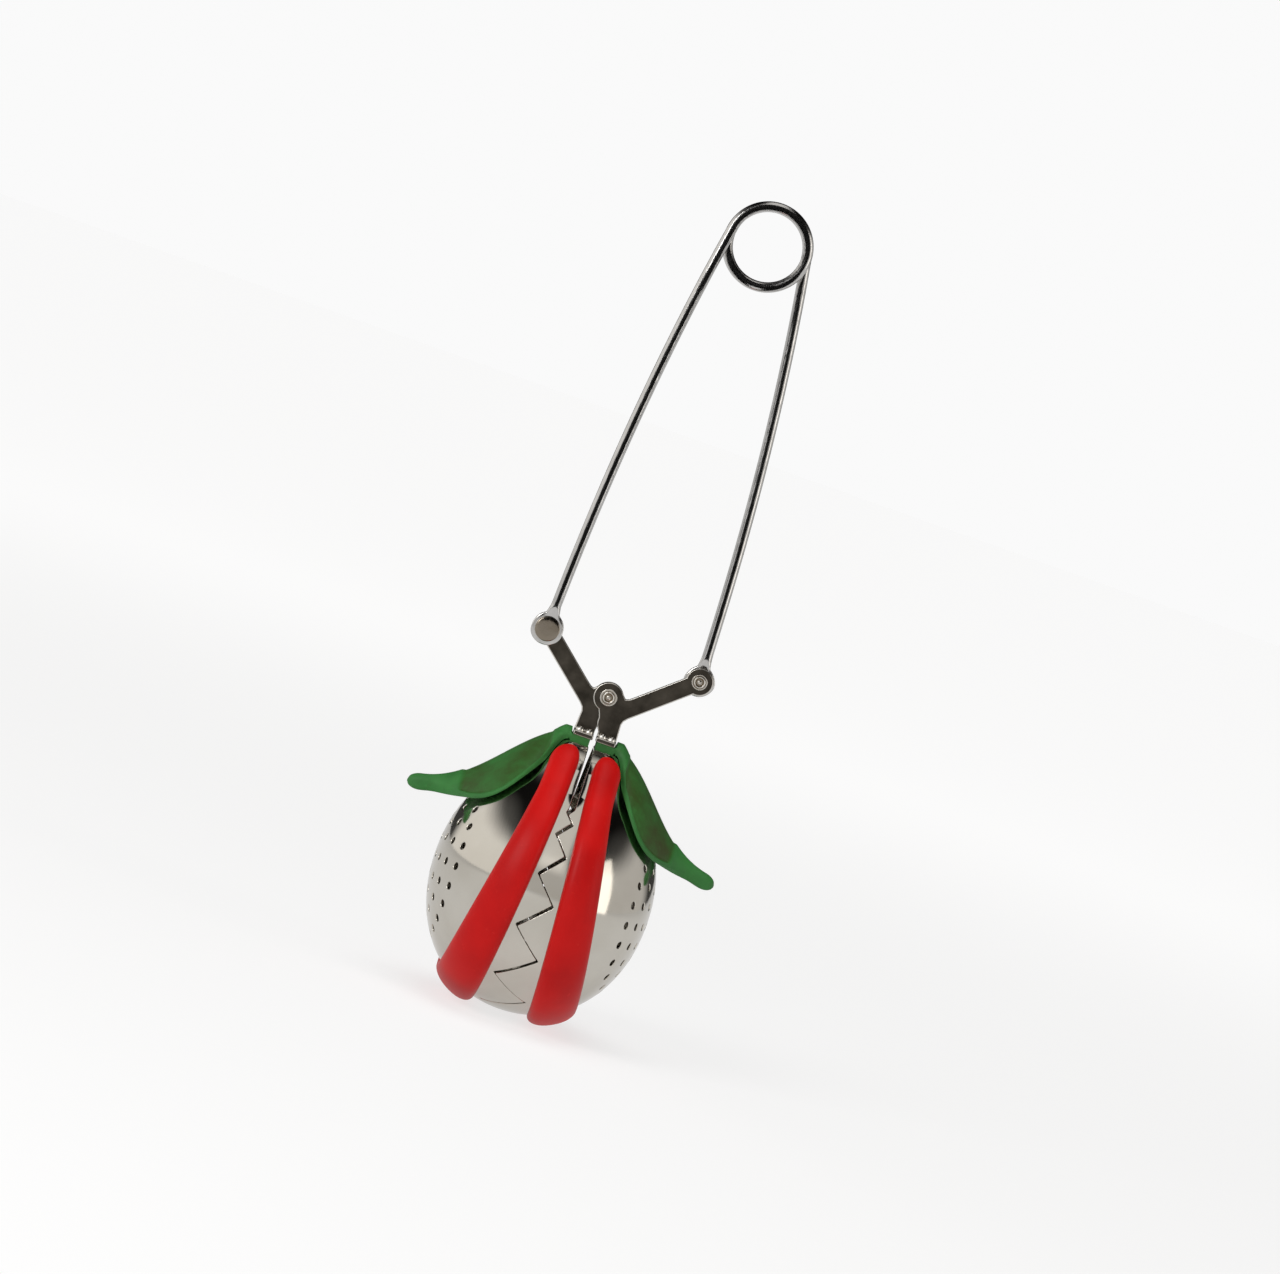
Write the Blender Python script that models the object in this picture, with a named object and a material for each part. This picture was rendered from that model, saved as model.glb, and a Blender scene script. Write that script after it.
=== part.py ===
"""Pincer tea infuser: a sprung wire handle squeezes two pivoted arms, which open a toothed ball.

Frame: metres, +Z up, origin at the centre of the handle's loop. The jaws open along X, every
hinge axis runs along Y, and the front of the infuser faces -Y. Left pieces lie at -X.
"""
import math

import bmesh
import bpy
from mathutils import Matrix, Vector

MM = 0.001
LEFT = -1
RIGHT = 1
SIDE_NAME = {LEFT: "left", RIGHT: "right"}

# Clearances
GAP = 0.3 * MM                    # between two pieces that touch

# Handle wire
WIRE_RADIUS = 1.05 * MM
LOOP_RADIUS = 8.0 * MM            # centreline of the loop
LOOP_RISE = 2.4 * MM              # along Y for each full turn
LEG_SPLAY_TOP = math.radians(10.0)
LEG_SPLAY_BOTTOM = math.radians(1.5)
WIRE_SIDES = 8
COIL_STEPS = 38
LEG_STEPS = 14
EYE_RADIUS = 3.3 * MM             # flattened wire end round each leg's rivet
EYE_SIDES = 22
FLAT_HALF_WIDTH = 1.9 * MM        # of the wire where it runs into the eye
FLAT_START = 4.6 * MM             # distances along the wire from the rivet's axis
FLAT_END = 3.2 * MM
FLAT_STOP = 1.9 * MM

# Linkage
LEG_PIVOT_X = 16.07 * MM
LEG_PIVOT_Z = -86.0 * MM
CENTRE_PIVOT_Z = -94.9 * MM

# Arm plates: two layers that meet at y = 0, the left arm behind and the right arm in front
PLATE = 1.1 * MM
CUT_REACH = 3.0 * PLATE           # how far a bore's cutter runs past the middle plane
BORE_SIDES = 16
ARM_BOSS_RADIUS = 2.75 * MM
CENTRE_BOSS_RADIUS = 3.05 * MM
BAR_ANGLE = math.radians(40.5)
BAR_HALF_WIDTH = 1.8 * MM
FOOT_INNER_X = 0.3 * MM
FOOT_OUTER_X = 4.4 * MM
FOOT_DEPTH = 8.0 * MM             # top of the bent foot, below the centre pivot
FOOT_THICKNESS = 1.0 * MM
FOOT_FRONT_Y = -3.6 * MM

# Pivot rivets
RIVET_SHANK = 1.0 * MM
RIVET_BORE = 0.6 * MM
RIVET_HEAD = 1.65 * MM
RIVET_HEAD_HEIGHT = 0.6 * MM
RIVET_HEAD_EDGE = 0.25 * MM       # straight side of the head
RIVET_ROLL = 0.5 * MM             # width of the rolled ring round the bore
RIVET_DISH = 0.3 * MM             # depth of the bore's mouth
CENTRE_RIVET_HEAD = 1.8 * MM
CENTRE_PLAY = 0.5 * MM            # takes up the drift of the opened centre pivot

# Foot rivets
FOOT_RIVET_Y = -2.5 * MM
FOOT_RIVET_XS = (1.4 * MM, 3.3 * MM)
FOOT_RIVET_SHANK = 0.5 * MM
FOOT_RIVET_HEAD = 0.85 * MM
FOOT_RIVET_DOME = 0.72 * MM
FOOT_RIVET_TAIL = 0.5 * MM
FOOT_RIVET_TIP = 0.02 * MM        # radius of the small flat at each end
FOOT_RIVET_SIDES = 10

# Ball
BALL_DEPTH = 40.3 * MM            # centre of the ball, below the centre pivot
BALL_RADIUS = 25.6 * MM
BALL_HALF_WIDTH = 22.4 * MM
BALL_POWER = 2.1                  # a little squarer than an ellipse
SHEET = 0.7 * MM
SHELL_ROWS = (5.6 * MM, 8.0 * MM, 11.0 * MM, 14.2 * MM, 17.5 * MM, 20.2 * MM, 21.8 * MM)
NECK_RISE = 5.6 * MM
NECK_ANGLE = math.radians(42.0)
NECK_FLAT_X = 5.0 * MM
NECK_END_X = 10.5 * MM
TONGUE = 0.8 * MM                 # leaf root between the foot and the shell
LAND_DEPTH = FOOT_DEPTH + FOOT_THICKNESS + GAP + TONGUE + GAP

# Toothed rim
SLOT_HALF_GAP = 0.6 * MM
SLOT_STEPS = 5
SLOT_END = math.radians(43.0)
LAND_EDGE = math.radians(7.2)     # end of the flat land under the arm's foot
TOOTH_GAP = 0.85 * MM
TOOTH_SHIFT = 0.4 * MM            # right teeth sit this far on, so alternate flanks open up
TOOTH_START = math.radians(47.0)
TOOTH_COUNT = 11                  # flanks down each side of the ball
TOOTH_FIRST = 2.2 * MM            # length of the first flank along the rim
TOOTH_LAST = 8.5 * MM             # length that the flanks grow towards
TOOTH_GROWTH = 6.0
TOOTH_REACH = 0.6 * MM            # of the first corner from the middle plane
TOOTH_REACH_GROWTH = 0.4 * MM     # added at each corner
TOOTH_MIDPOINT = math.radians(10.0)  # a longer flank gets a corner half way along

# Perforations
HOLE_RADIUS = 0.8 * MM
HOLE_PITCH = 4.4 * MM
HOLE_RINGS = 4
HOLE_SIDES = 6
HOLE_CUT_IN = 2.0 * MM            # reach of a hole's cutter inside and outside the shell
HOLE_CUT_OUT = 1.5 * MM

# Lips
LIP_START = math.radians(15.5)
LIP_COLUMNS = 42
LIP_POINTS = 7                    # across the crown of the lip
LIP_BASE_POINTS = 4
LIP_HEIGHT = 2.2 * MM
LIP_EDGE_SHARE = 0.22             # of the height that the lip's edges keep
LIP_ROUNDNESS = 2.4
LIP_END_SWELL = (0.45, 0.85)      # share of the height on the two rings next to each end
LIP_INNER_TOP = 1.3 * MM
LIP_INNER_BOTTOM = 5.7 * MM
LIP_WIDTH_TOP = 4.1 * MM
LIP_WIDTH_BOTTOM = 10.2 * MM

# Leaves
LEAF_ROOT = (4.8 * MM, 7.6 * MM)          # x and depth below the centre pivot
LEAF_HANDLES = ((16.5 * MM, 11.0 * MM), (20.0 * MM, 26.0 * MM))
LEAF_TIP = (32.5 * MM, 27.0 * MM)
LEAF_HALF_WIDTH = 13.5 * MM
LEAF_DROOP = 7.4 * MM
LEAF_THICKNESS = 1.8 * MM
LEAF_ROOT_THICKNESS = 2.6 * MM
LEAF_BAR_RADIUS = 1.6 * MM
LEAF_POINTS = 8                   # across each skin of the blade
LEAF_STEPS = 13
LEAF_BLADE_END = 0.84             # share of the midrib where the blade has run into the bar
LEAF_BLADE_SKEW = 0.86
LEAF_BLADE_POWER = 1.15
LEAF_FLARE_END = 0.5              # where the tongue's width has faded out
LEAF_ROOT_DROOP = 0.3 * MM
LEAF_DROOP_CURVE = 1.7
LEAF_EDGE_SHARE = 0.16            # of the thickness that the edge keeps
LEAF_ROUNDNESS = 2.6
LEAF_TIP_RINGS = ((0.985, 0.8), (1.0, 0.35))   # place along the midrib and size
TONGUE_HALF_WIDTH = 3.4 * MM
LEAF_CLEARANCE = 0.7 * MM         # between the underside of the blade and the shell

SMOOTH_ANGLE = math.radians(35.0)

CENTRE_PIVOT = Vector((0.0, 0.0, CENTRE_PIVOT_Z))
BALL_CENTRE = Vector((0.0, 0.0, CENTRE_PIVOT_Z - BALL_DEPTH))


def clear_scene():
    for obj in list(bpy.data.objects):
        bpy.data.objects.remove(obj, do_unlink=True)


def make_material(name, colour, roughness, metallic):
    material = bpy.data.materials.new(name)
    material.use_nodes = True
    shader = material.node_tree.nodes["Principled BSDF"]
    shader.inputs["Base Color"].default_value = (*colour, 1.0)
    shader.inputs["Roughness"].default_value = roughness
    shader.inputs["Metallic"].default_value = metallic
    return material


def make_hinge(name, location):
    """An empty on a joint's axis, which the pieces of one moving body hang from."""
    hinge = bpy.data.objects.new(name, None)
    hinge.location = location
    bpy.context.collection.objects.link(hinge)
    return hinge


def finish_piece(name, bm, material, hinge):
    """Turn a mesh drawn in world coordinates into a named piece under its hinge."""
    bmesh.ops.translate(bm, verts=bm.verts, vec=-hinge.location)
    bmesh.ops.recalc_face_normals(bm, faces=bm.faces)
    mesh = bpy.data.meshes.new(name)
    bm.to_mesh(mesh)
    bm.free()
    mesh.materials.append(material)
    mesh.shade_smooth()
    mesh.set_sharp_from_angle(angle=SMOOTH_ANGLE)
    piece = bpy.data.objects.new(name, mesh)
    piece.parent = hinge
    bpy.context.collection.objects.link(piece)
    return piece


def cut_piece(piece, bm, operation="DIFFERENCE"):
    """Add a Boolean with a hidden operand drawn in world coordinates."""
    name = f"{piece.name}_{operation.lower()}"
    bmesh.ops.recalc_face_normals(bm, faces=bm.faces)
    mesh = bpy.data.meshes.new(name)
    bm.to_mesh(mesh)
    bm.free()
    cutter = bpy.data.objects.new(name, mesh)
    cutter.hide_render = True
    cutter.display_type = "WIRE"
    bpy.context.collection.objects.link(cutter)
    boolean = piece.modifiers.new(name, "BOOLEAN")
    boolean.operation = operation
    boolean.object = cutter


def smoothstep(value):
    value = min(max(value, 0.0), 1.0)
    return value * value * (3.0 - 2.0 * value)


def add_loft(bm, rings, closed=False):
    """Skin a list of equal rings; an open loft gets a flat cap at each end."""
    loops = [[bm.verts.new(point) for point in ring] for ring in rings]
    pairs = list(zip(loops, loops[1:]))
    if closed:
        pairs.append((loops[-1], loops[0]))
    for first, second in pairs:
        for i in range(len(first)):
            j = (i + 1) % len(first)
            bm.faces.new((first[i], first[j], second[j], second[i]))
    if not closed:
        bm.faces.new(loops[0])
        bm.faces.new(loops[-1])


def add_cylinder(bm, start, end, radius, sides):
    axis = end - start
    turn = axis.to_track_quat("Z", "Y").to_matrix().to_4x4()
    place = Matrix.Translation((start + end) / 2.0) @ turn
    bmesh.ops.create_cone(bm, cap_ends=True, segments=sides, radius1=radius, radius2=radius,
                          depth=axis.length, matrix=place)


def add_lathe(bm, profile, place, segments=16):
    """Turn a closed (radius, height) outline round the Z axis of a placement matrix."""
    rings = []
    for i in range(segments):
        angle = 2.0 * math.pi * i / segments
        rings.append([place @ Vector((r * math.cos(angle), r * math.sin(angle), h))
                      for r, h in profile])
    add_loft(bm, rings, closed=True)


def wire_ring(centre, tangent, flat, half_thickness, half_width):
    """One elliptical section of the wire; flat is the direction of its thickness."""
    flat = (flat - flat.dot(tangent) * tangent).normalized()
    across = tangent.cross(flat)
    ring = []
    for i in range(WIRE_SIDES):
        angle = 2.0 * math.pi * (i + 0.5) / WIRE_SIDES
        ring.append(centre + flat * half_thickness * math.cos(angle)
                    + across * half_width * math.sin(angle))
    return ring


# ---------------------------------------------------------------- handle

def loop_turn():
    """Angle that the loop covers from the left tangent point, over the top, to the right one."""
    return 3.0 * math.pi - 2.0 * LEG_SPLAY_TOP


def loop_point(angle):
    """Point of the loop's centreline, angle measured in the XZ plane from +X towards +Z."""
    start = math.pi - LEG_SPLAY_TOP
    y = LOOP_RISE * ((start - angle) - loop_turn() / 2.0) / (2.0 * math.pi)
    return Vector((LOOP_RADIUS * math.cos(angle), y, LOOP_RADIUS * math.sin(angle)))


def make_handle_coil(material, hinge):
    """One and a half turns of wire between the two legs, the left end in front."""
    start = math.pi - LEG_SPLAY_TOP
    end = start - loop_turn()
    trim = GAP / 2.0 / LOOP_RADIUS
    rings = []
    for i in range(COIL_STEPS + 1):
        angle = start - trim + (end - start + 2.0 * trim) * i / COIL_STEPS
        tangent = Vector((math.sin(angle), 0.0, -math.cos(angle)))
        rings.append(wire_ring(loop_point(angle), tangent, Vector((0.0, 1.0, 0.0)),
                               WIRE_RADIUS, WIRE_RADIUS))
    bm = bmesh.new()
    add_loft(bm, rings)
    return finish_piece("handle_coil", bm, material, hinge)


def leg_line(side, t):
    """Centreline of a leg from the loop (t = 0) to its eye (t = 1): a Hermite curve."""
    start = loop_point(math.pi / 2.0 - side * (math.pi / 2.0 - LEG_SPLAY_TOP))
    if side == RIGHT:
        start.y = -loop_point(math.pi - LEG_SPLAY_TOP).y
    end = Vector((side * LEG_PIVOT_X, side * (GAP + PLATE) / 2.0, LEG_PIVOT_Z))
    chord = (end - start).length
    out = Vector((side * math.sin(LEG_SPLAY_TOP), 0.0, -math.cos(LEG_SPLAY_TOP))) * chord
    down = Vector((side * math.sin(LEG_SPLAY_BOTTOM), 0.0, -math.cos(LEG_SPLAY_BOTTOM))) * chord
    h00 = 2.0 * t ** 3 - 3.0 * t ** 2 + 1.0
    h10 = t ** 3 - 2.0 * t ** 2 + t
    h01 = -2.0 * t ** 3 + 3.0 * t ** 2
    h11 = t ** 3 - t ** 2
    return h00 * start + h10 * out + h01 * end + h11 * down


def make_leg(side, material, hinge):
    """A leg of round wire, hammered flat into an eye round its rivet."""
    length = (leg_line(side, 1.0) - leg_line(side, 0.0)).length
    first = GAP / 2.0 / length
    round_end = 1.0 - FLAT_START / length
    flat_end = 1.0 - FLAT_END / length
    stops = [first + (round_end - first) * i / LEG_STEPS for i in range(LEG_STEPS + 1)]
    stops += [flat_end, 1.0 - FLAT_STOP / length]
    rings = []
    for t in stops:
        tangent = (leg_line(side, t + 0.001) - leg_line(side, t - 0.001)).normalized()
        flat = smoothstep((t - round_end) / (flat_end - round_end))
        thickness = WIRE_RADIUS + flat * (0.46 * PLATE - WIRE_RADIUS)
        width = WIRE_RADIUS + flat * (FLAT_HALF_WIDTH - WIRE_RADIUS)
        rings.append(wire_ring(leg_line(side, t), tangent, Vector((0.0, 1.0, 0.0)),
                               thickness, width))
    bm = bmesh.new()
    add_loft(bm, rings)
    leg = finish_piece(f"{SIDE_NAME[side]}_leg", bm, material, hinge)
    centre = leg_line(side, 1.0)
    half = Vector((0.0, PLATE / 2.0, 0.0))
    reach = Vector((0.0, CUT_REACH, 0.0))
    eye = bmesh.new()
    add_cylinder(eye, centre - half, centre + half, EYE_RADIUS, EYE_SIDES)
    cut_piece(leg, eye, "UNION")
    bore = bmesh.new()
    add_cylinder(bore, centre - reach, centre + reach, RIVET_SHANK + GAP, BORE_SIDES)
    cut_piece(leg, bore)
    return leg


# ---------------------------------------------------------------- arms and rivets

def arc(centre, radius, start, end, steps):
    angles = [start + (end - start) * i / steps for i in range(steps + 1)]
    return [(centre[0] + radius * math.cos(a), centre[1] + radius * math.sin(a)) for a in angles]


def arm_outline():
    """Upper outline of the right arm in (x, z) round the centre pivot, down to its foot."""
    outer = (LEG_PIVOT_X, LEG_PIVOT_Z - CENTRE_PIVOT_Z)
    along = Vector((math.cos(BAR_ANGLE), math.sin(BAR_ANGLE)))
    across = Vector((-along.y, along.x))
    turn = math.pi - math.asin(BAR_HALF_WIDTH / ARM_BOSS_RADIUS)
    points = arc(outer, ARM_BOSS_RADIUS, BAR_ANGLE + turn, BAR_ANGLE - turn, 16)
    lower = Vector(outer) - across * BAR_HALF_WIDTH
    lower = lower - along * ((lower.x - FOOT_OUTER_X) / along.x)
    points += [tuple(lower), (FOOT_OUTER_X, -FOOT_DEPTH), (FOOT_INNER_X, -FOOT_DEPTH)]
    points += [(FOOT_INNER_X, -FOOT_DEPTH / 2.0)]
    points += arc((0.0, 0.0), CENTRE_BOSS_RADIUS, math.radians(248.0), math.radians(24.0), 14)
    upper = Vector(outer) + across * BAR_HALF_WIDTH
    upper = upper - along * ((upper.x - 1.25 * CENTRE_BOSS_RADIUS) / along.x)
    points += [tuple(upper)]
    return points


def extrude_along_y(bm, faces, distance):
    grown = bmesh.ops.extrude_face_region(bm, geom=faces)
    moved = [item for item in grown["geom"] if isinstance(item, bmesh.types.BMVert)]
    bmesh.ops.translate(bm, verts=moved, vec=(0.0, distance, 0.0))


def draw_arm(side):
    """The arm's plate, drawn as the right arm, with its foot bent forward onto the shell."""
    back = -GAP / 2.0 if side == RIGHT else GAP / 2.0 + PLATE
    front = back - PLATE
    bm = bmesh.new()

    def corner(x, z):
        return bm.verts.new((side * x, back, CENTRE_PIVOT_Z + z))

    outline = [corner(x, z) for x, z in arm_outline()]
    bm.faces.new(outline)
    low = -FOOT_DEPTH - FOOT_THICKNESS
    foot_top = [v for v in outline if abs(v.co.z - (CENTRE_PIVOT_Z - FOOT_DEPTH)) < GAP / 10.0]
    foot_top.sort(key=lambda v: abs(v.co.x))
    bm.faces.new((foot_top[0], corner(FOOT_INNER_X, low), corner(FOOT_OUTER_X, low), foot_top[1]))
    bmesh.ops.recalc_face_normals(bm, faces=bm.faces)
    extrude_along_y(bm, list(bm.faces), -PLATE)
    foot_middle = Vector(((FOOT_INNER_X + FOOT_OUTER_X) / 2.0 * side, front,
                          CENTRE_PIVOT_Z - FOOT_DEPTH - FOOT_THICKNESS / 2.0))
    foot = [f for f in bm.faces if (f.calc_center_median() - foot_middle).length < GAP]
    extrude_along_y(bm, foot, FOOT_FRONT_Y - front)
    bmesh.ops.delete(bm, geom=foot, context="FACES_ONLY")
    return bm


def make_arm(side, material, hinge):
    arm = finish_piece(f"{SIDE_NAME[side]}_arm", draw_arm(side), material, hinge)
    reach = Vector((0.0, CUT_REACH, 0.0))
    centre_bore = RIVET_SHANK + (CENTRE_PLAY if side == RIGHT else GAP)
    pivot = Vector((side * LEG_PIVOT_X, 0.0, LEG_PIVOT_Z))
    holes = bmesh.new()
    add_cylinder(holes, pivot - reach, pivot + reach, RIVET_SHANK + GAP, BORE_SIDES)
    add_cylinder(holes, CENTRE_PIVOT - reach, CENTRE_PIVOT + reach, centre_bore, BORE_SIDES)
    add_foot_bores(holes, side)
    cut_piece(arm, holes)
    return arm


def add_foot_bores(bm, side):
    """Clearance holes for the two foot rivets, from above the foot to below the shell."""
    for x in FOOT_RIVET_XS:
        top = Vector((side * x, FOOT_RIVET_Y, CENTRE_PIVOT_Z - FOOT_DEPTH + MM))
        bottom = top - Vector((0.0, 0.0, LAND_DEPTH - FOOT_DEPTH + 3.0 * MM))
        add_cylinder(bm, top, bottom, FOOT_RIVET_SHANK + GAP, FOOT_RIVET_SIDES)


def make_pivot_rivet(name, centre, head, material, hinge):
    """A tubular rivet along Y with a rolled head at each end of the two-plate stack."""
    face = PLATE + 1.5 * GAP
    top = face + RIVET_HEAD_HEIGHT
    half = [(RIVET_SHANK, 0.0), (RIVET_SHANK, face), (head, face),
            (head, face + RIVET_HEAD_EDGE), (head - RIVET_ROLL, top),
            (RIVET_BORE, top - RIVET_DISH)]
    profile = half + [(r, -h) for r, h in reversed(half[1:])]
    place = Matrix.Translation(centre) @ Matrix.Rotation(math.pi / 2.0, 4, "X")
    bm = bmesh.new()
    add_lathe(bm, profile, place)
    return finish_piece(name, bm, material, hinge)


def make_foot_rivet(side, number, material, hinge):
    """A small solid rivet through the arm's foot, the leaf's root and the shell."""
    seat = -(FOOT_DEPTH - GAP)
    tail = -(LAND_DEPTH + SHEET + GAP)
    profile = [(FOOT_RIVET_TIP, seat + FOOT_RIVET_DOME),
               (0.5 * FOOT_RIVET_HEAD, seat + 0.86 * FOOT_RIVET_DOME),
               (0.87 * FOOT_RIVET_HEAD, seat + 0.5 * FOOT_RIVET_DOME),
               (FOOT_RIVET_HEAD, seat),
               (FOOT_RIVET_SHANK, seat), (FOOT_RIVET_SHANK, tail),
               (FOOT_RIVET_HEAD, tail), (FOOT_RIVET_HEAD, tail - 0.9 * FOOT_RIVET_TAIL),
               (FOOT_RIVET_TIP, tail - FOOT_RIVET_TAIL)]
    angles = [2.0 * math.pi * i / FOOT_RIVET_SIDES for i in range(FOOT_RIVET_SIDES)]
    centre = Vector((side * FOOT_RIVET_XS[number], FOOT_RIVET_Y, CENTRE_PIVOT_Z))
    rings = []
    for r, h in profile:
        rings.append([centre + Vector((r * math.cos(a), r * math.sin(a), h)) for a in angles])
    bm = bmesh.new()
    add_loft(bm, rings)
    place = ("inner", "outer")[number]
    return finish_piece(f"{SIDE_NAME[side]}_foot_rivet_{place}", bm, material, hinge)


# ---------------------------------------------------------------- ball

def ball_radius(x, phi, inset=0.0):
    """Distance of the shell's skin from the ball's X axis, at x and at phi from the top."""
    half_width = BALL_HALF_WIDTH - inset
    share = max(0.0, 1.0 - (abs(x) / half_width) ** BALL_POWER)
    radius = (BALL_RADIUS - inset) * share ** (1.0 / BALL_POWER)
    away = min(phi, 2.0 * math.pi - phi)
    if away < NECK_ANGLE:
        rise = math.cos(away / NECK_ANGLE * math.pi / 2.0) ** 2
        fade = 1.0 - smoothstep((abs(x) - NECK_FLAT_X) / (NECK_END_X - NECK_FLAT_X))
        radius += NECK_RISE * rise * fade
        land = BALL_DEPTH - LAND_DEPTH - inset
        radius = min(radius, land / math.cos(away))
    return radius


def ball_point(x, phi, radius):
    return BALL_CENTRE + Vector((x, -radius * math.sin(phi), radius * math.cos(phi)))


def tooth_line():
    """Corners of the zigzag as (phi, x), from the end of the slot to the ball's lowest point."""
    pitches = [TOOTH_LAST - (TOOTH_LAST - TOOTH_FIRST) * math.exp(-k / TOOTH_GROWTH)
               for k in range(TOOTH_COUNT)]
    scale = (math.pi - TOOTH_START) * BALL_RADIUS / sum(pitches)
    corners = []
    phi = TOOTH_START
    for k in range(TOOTH_COUNT + 1):
        corners.append((phi, (-1) ** (k + 1) * (TOOTH_REACH + k * TOOTH_REACH_GROWTH)))
        phi += pitches[min(k, TOOTH_COUNT - 1)] * scale / BALL_RADIUS
    return corners


def rim_columns(side):
    """(phi, lateral x of the rim) for one shell down its front, slot first, then the teeth."""
    shift = TOOTH_SHIFT / BALL_RADIUS if side == RIGHT else 0.0
    slot = [0.0, LAND_EDGE / 2.0, LAND_EDGE]
    slot += [LAND_EDGE + (SLOT_END - LAND_EDGE) * (k + 1) / SLOT_STEPS for k in range(SLOT_STEPS)]
    columns = [(phi, SLOT_HALF_GAP) for phi in slot]
    for phi, x in tooth_line():
        lateral = TOOTH_GAP / 2.0 + side * x
        last_phi, last_lateral = columns[-1]
        if phi - last_phi > TOOTH_MIDPOINT:
            columns.append(((last_phi + phi + shift) / 2.0, (last_lateral + lateral) / 2.0))
        columns.append((phi + shift, lateral))
    last_phi, last_lateral = columns[-1]
    before_phi, before_lateral = columns[-2]
    share = (math.pi - before_phi) / (last_phi - before_phi)
    columns[-1] = (math.pi, before_lateral + share * (last_lateral - before_lateral))
    return columns


def make_shell(side, material, hinge):
    """Half of the ball: a sheet dome with a toothed rim and rings of perforations."""
    front = rim_columns(side)
    back = [(2.0 * math.pi - phi, x) for phi, x in reversed(front[1:-1])]
    bm = bmesh.new()
    outer_columns = []
    inner_columns = []
    for phi, rim in front + back:
        lateral = [rim, (rim + SHELL_ROWS[0]) / 2.0, *SHELL_ROWS]
        outer = [ball_point(side * x, phi, ball_radius(x, phi)) for x in lateral]
        lateral[2:] = [x - SHEET * (x / BALL_HALF_WIDTH) ** 2 for x in lateral[2:]]
        inner = [ball_point(side * x, phi, ball_radius(x, phi, SHEET)) for x in lateral]
        outer_columns.append([bm.verts.new(point) for point in outer])
        inner_columns.append([bm.verts.new(point) for point in inner])
    outer_pole = bm.verts.new(BALL_CENTRE + Vector((side * BALL_HALF_WIDTH, 0.0, 0.0)))
    inner_pole = bm.verts.new(BALL_CENTRE + Vector((side * (BALL_HALF_WIDTH - SHEET), 0.0, 0.0)))
    for columns, pole in ((outer_columns, outer_pole), (inner_columns, inner_pole)):
        for i, column in enumerate(columns):
            beside = columns[i - 1]
            for j in range(len(column) - 1):
                bm.faces.new((beside[j], column[j], column[j + 1], beside[j + 1]))
            bm.faces.new((beside[-1], column[-1], pole))
    for i in range(len(outer_columns)):
        bm.faces.new((outer_columns[i - 1][0], inner_columns[i - 1][0],
                      inner_columns[i][0], outer_columns[i][0]))
    shell = finish_piece(f"{SIDE_NAME[side]}_shell", bm, material, hinge)
    holes = bmesh.new()
    add_perforations(holes, side)
    add_foot_bores(holes, side)
    cut_piece(shell, holes)
    return shell


def add_perforations(bm, side):
    """Radial hole cutters on rings round the dome's pole, six more on each ring."""
    step = HOLE_PITCH / ((BALL_RADIUS + BALL_HALF_WIDTH) / 2.0)
    for ring in range(HOLE_RINGS + 1):
        tilt = ring * step
        x_share = math.cos(tilt) / BALL_HALF_WIDTH
        r_share = math.sin(tilt) / BALL_RADIUS
        reach = (x_share ** BALL_POWER + r_share ** BALL_POWER) ** (-1.0 / BALL_POWER)
        count = max(1, 6 * ring)
        for i in range(count):
            turn = 2.0 * math.pi * i / count
            ray = Vector((side * math.cos(tilt), math.sin(tilt) * math.cos(turn),
                          math.sin(tilt) * math.sin(turn)))
            add_cylinder(bm, BALL_CENTRE + ray * (reach - HOLE_CUT_IN),
                         BALL_CENTRE + ray * (reach + HOLE_CUT_OUT), HOLE_RADIUS, HOLE_SIDES)


# ---------------------------------------------------------------- silicone

def lip_edges(phi):
    """Lateral position of a lip's inner and outer edge; both widen towards the bottom."""
    fall = (1.0 - math.cos(phi)) / 2.0
    inner = LIP_INNER_TOP + (LIP_INNER_BOTTOM - LIP_INNER_TOP) * fall
    width = LIP_WIDTH_TOP + (LIP_WIDTH_BOTTOM - LIP_WIDTH_TOP) * math.sin(fall * math.pi / 2.0)
    return inner, inner + width


def make_lip(side, material, hinge):
    """A soft band that lies round the rim and ends on each side of the neck."""
    end = 2.0 * math.pi - LIP_START
    rings = []
    for i in range(LIP_COLUMNS + 1):
        phi = LIP_START + (end - LIP_START) * i / LIP_COLUMNS
        inner, outer = lip_edges(phi)
        from_end = min(i, LIP_COLUMNS - i)
        swell = LIP_END_SWELL[from_end] if from_end < len(LIP_END_SWELL) else 1.0
        middle = (inner + outer) / 2.0
        half = (outer - inner) / 2.0 * (0.55 + 0.45 * swell)
        ring = []
        for k in range(LIP_POINTS):
            across = -math.cos(math.pi * k / (LIP_POINTS - 1))
            crown = (1.0 - abs(across) ** LIP_ROUNDNESS) ** (1.0 / LIP_ROUNDNESS)
            x = middle + half * across
            share = LIP_EDGE_SHARE + (1.0 - LIP_EDGE_SHARE) * crown
            ring.append(ball_point(side * x, phi, ball_radius(x, phi) + GAP
                                   + LIP_HEIGHT * swell * share))
        for k in range(LIP_BASE_POINTS):
            x = middle + half * (1.0 - 2.0 * k / (LIP_BASE_POINTS - 1))
            ring.append(ball_point(side * x, phi, ball_radius(x, phi) + GAP))
        rings.append(ring)
    bm = bmesh.new()
    add_loft(bm, rings)
    return finish_piece(f"{SIDE_NAME[side]}_lip", bm, material, hinge)


def leaf_line(t):
    """Top of the leaf's midrib as (x, depth below the centre pivot): a cubic curve."""
    points = (LEAF_ROOT, *LEAF_HANDLES, LEAF_TIP)
    weights = ((1 - t) ** 3, 3 * t * (1 - t) ** 2, 3 * t * t * (1 - t), t ** 3)
    return Vector((sum(w * p[0] for w, p in zip(weights, points)),
                   sum(w * p[1] for w, p in zip(weights, points))))


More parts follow.
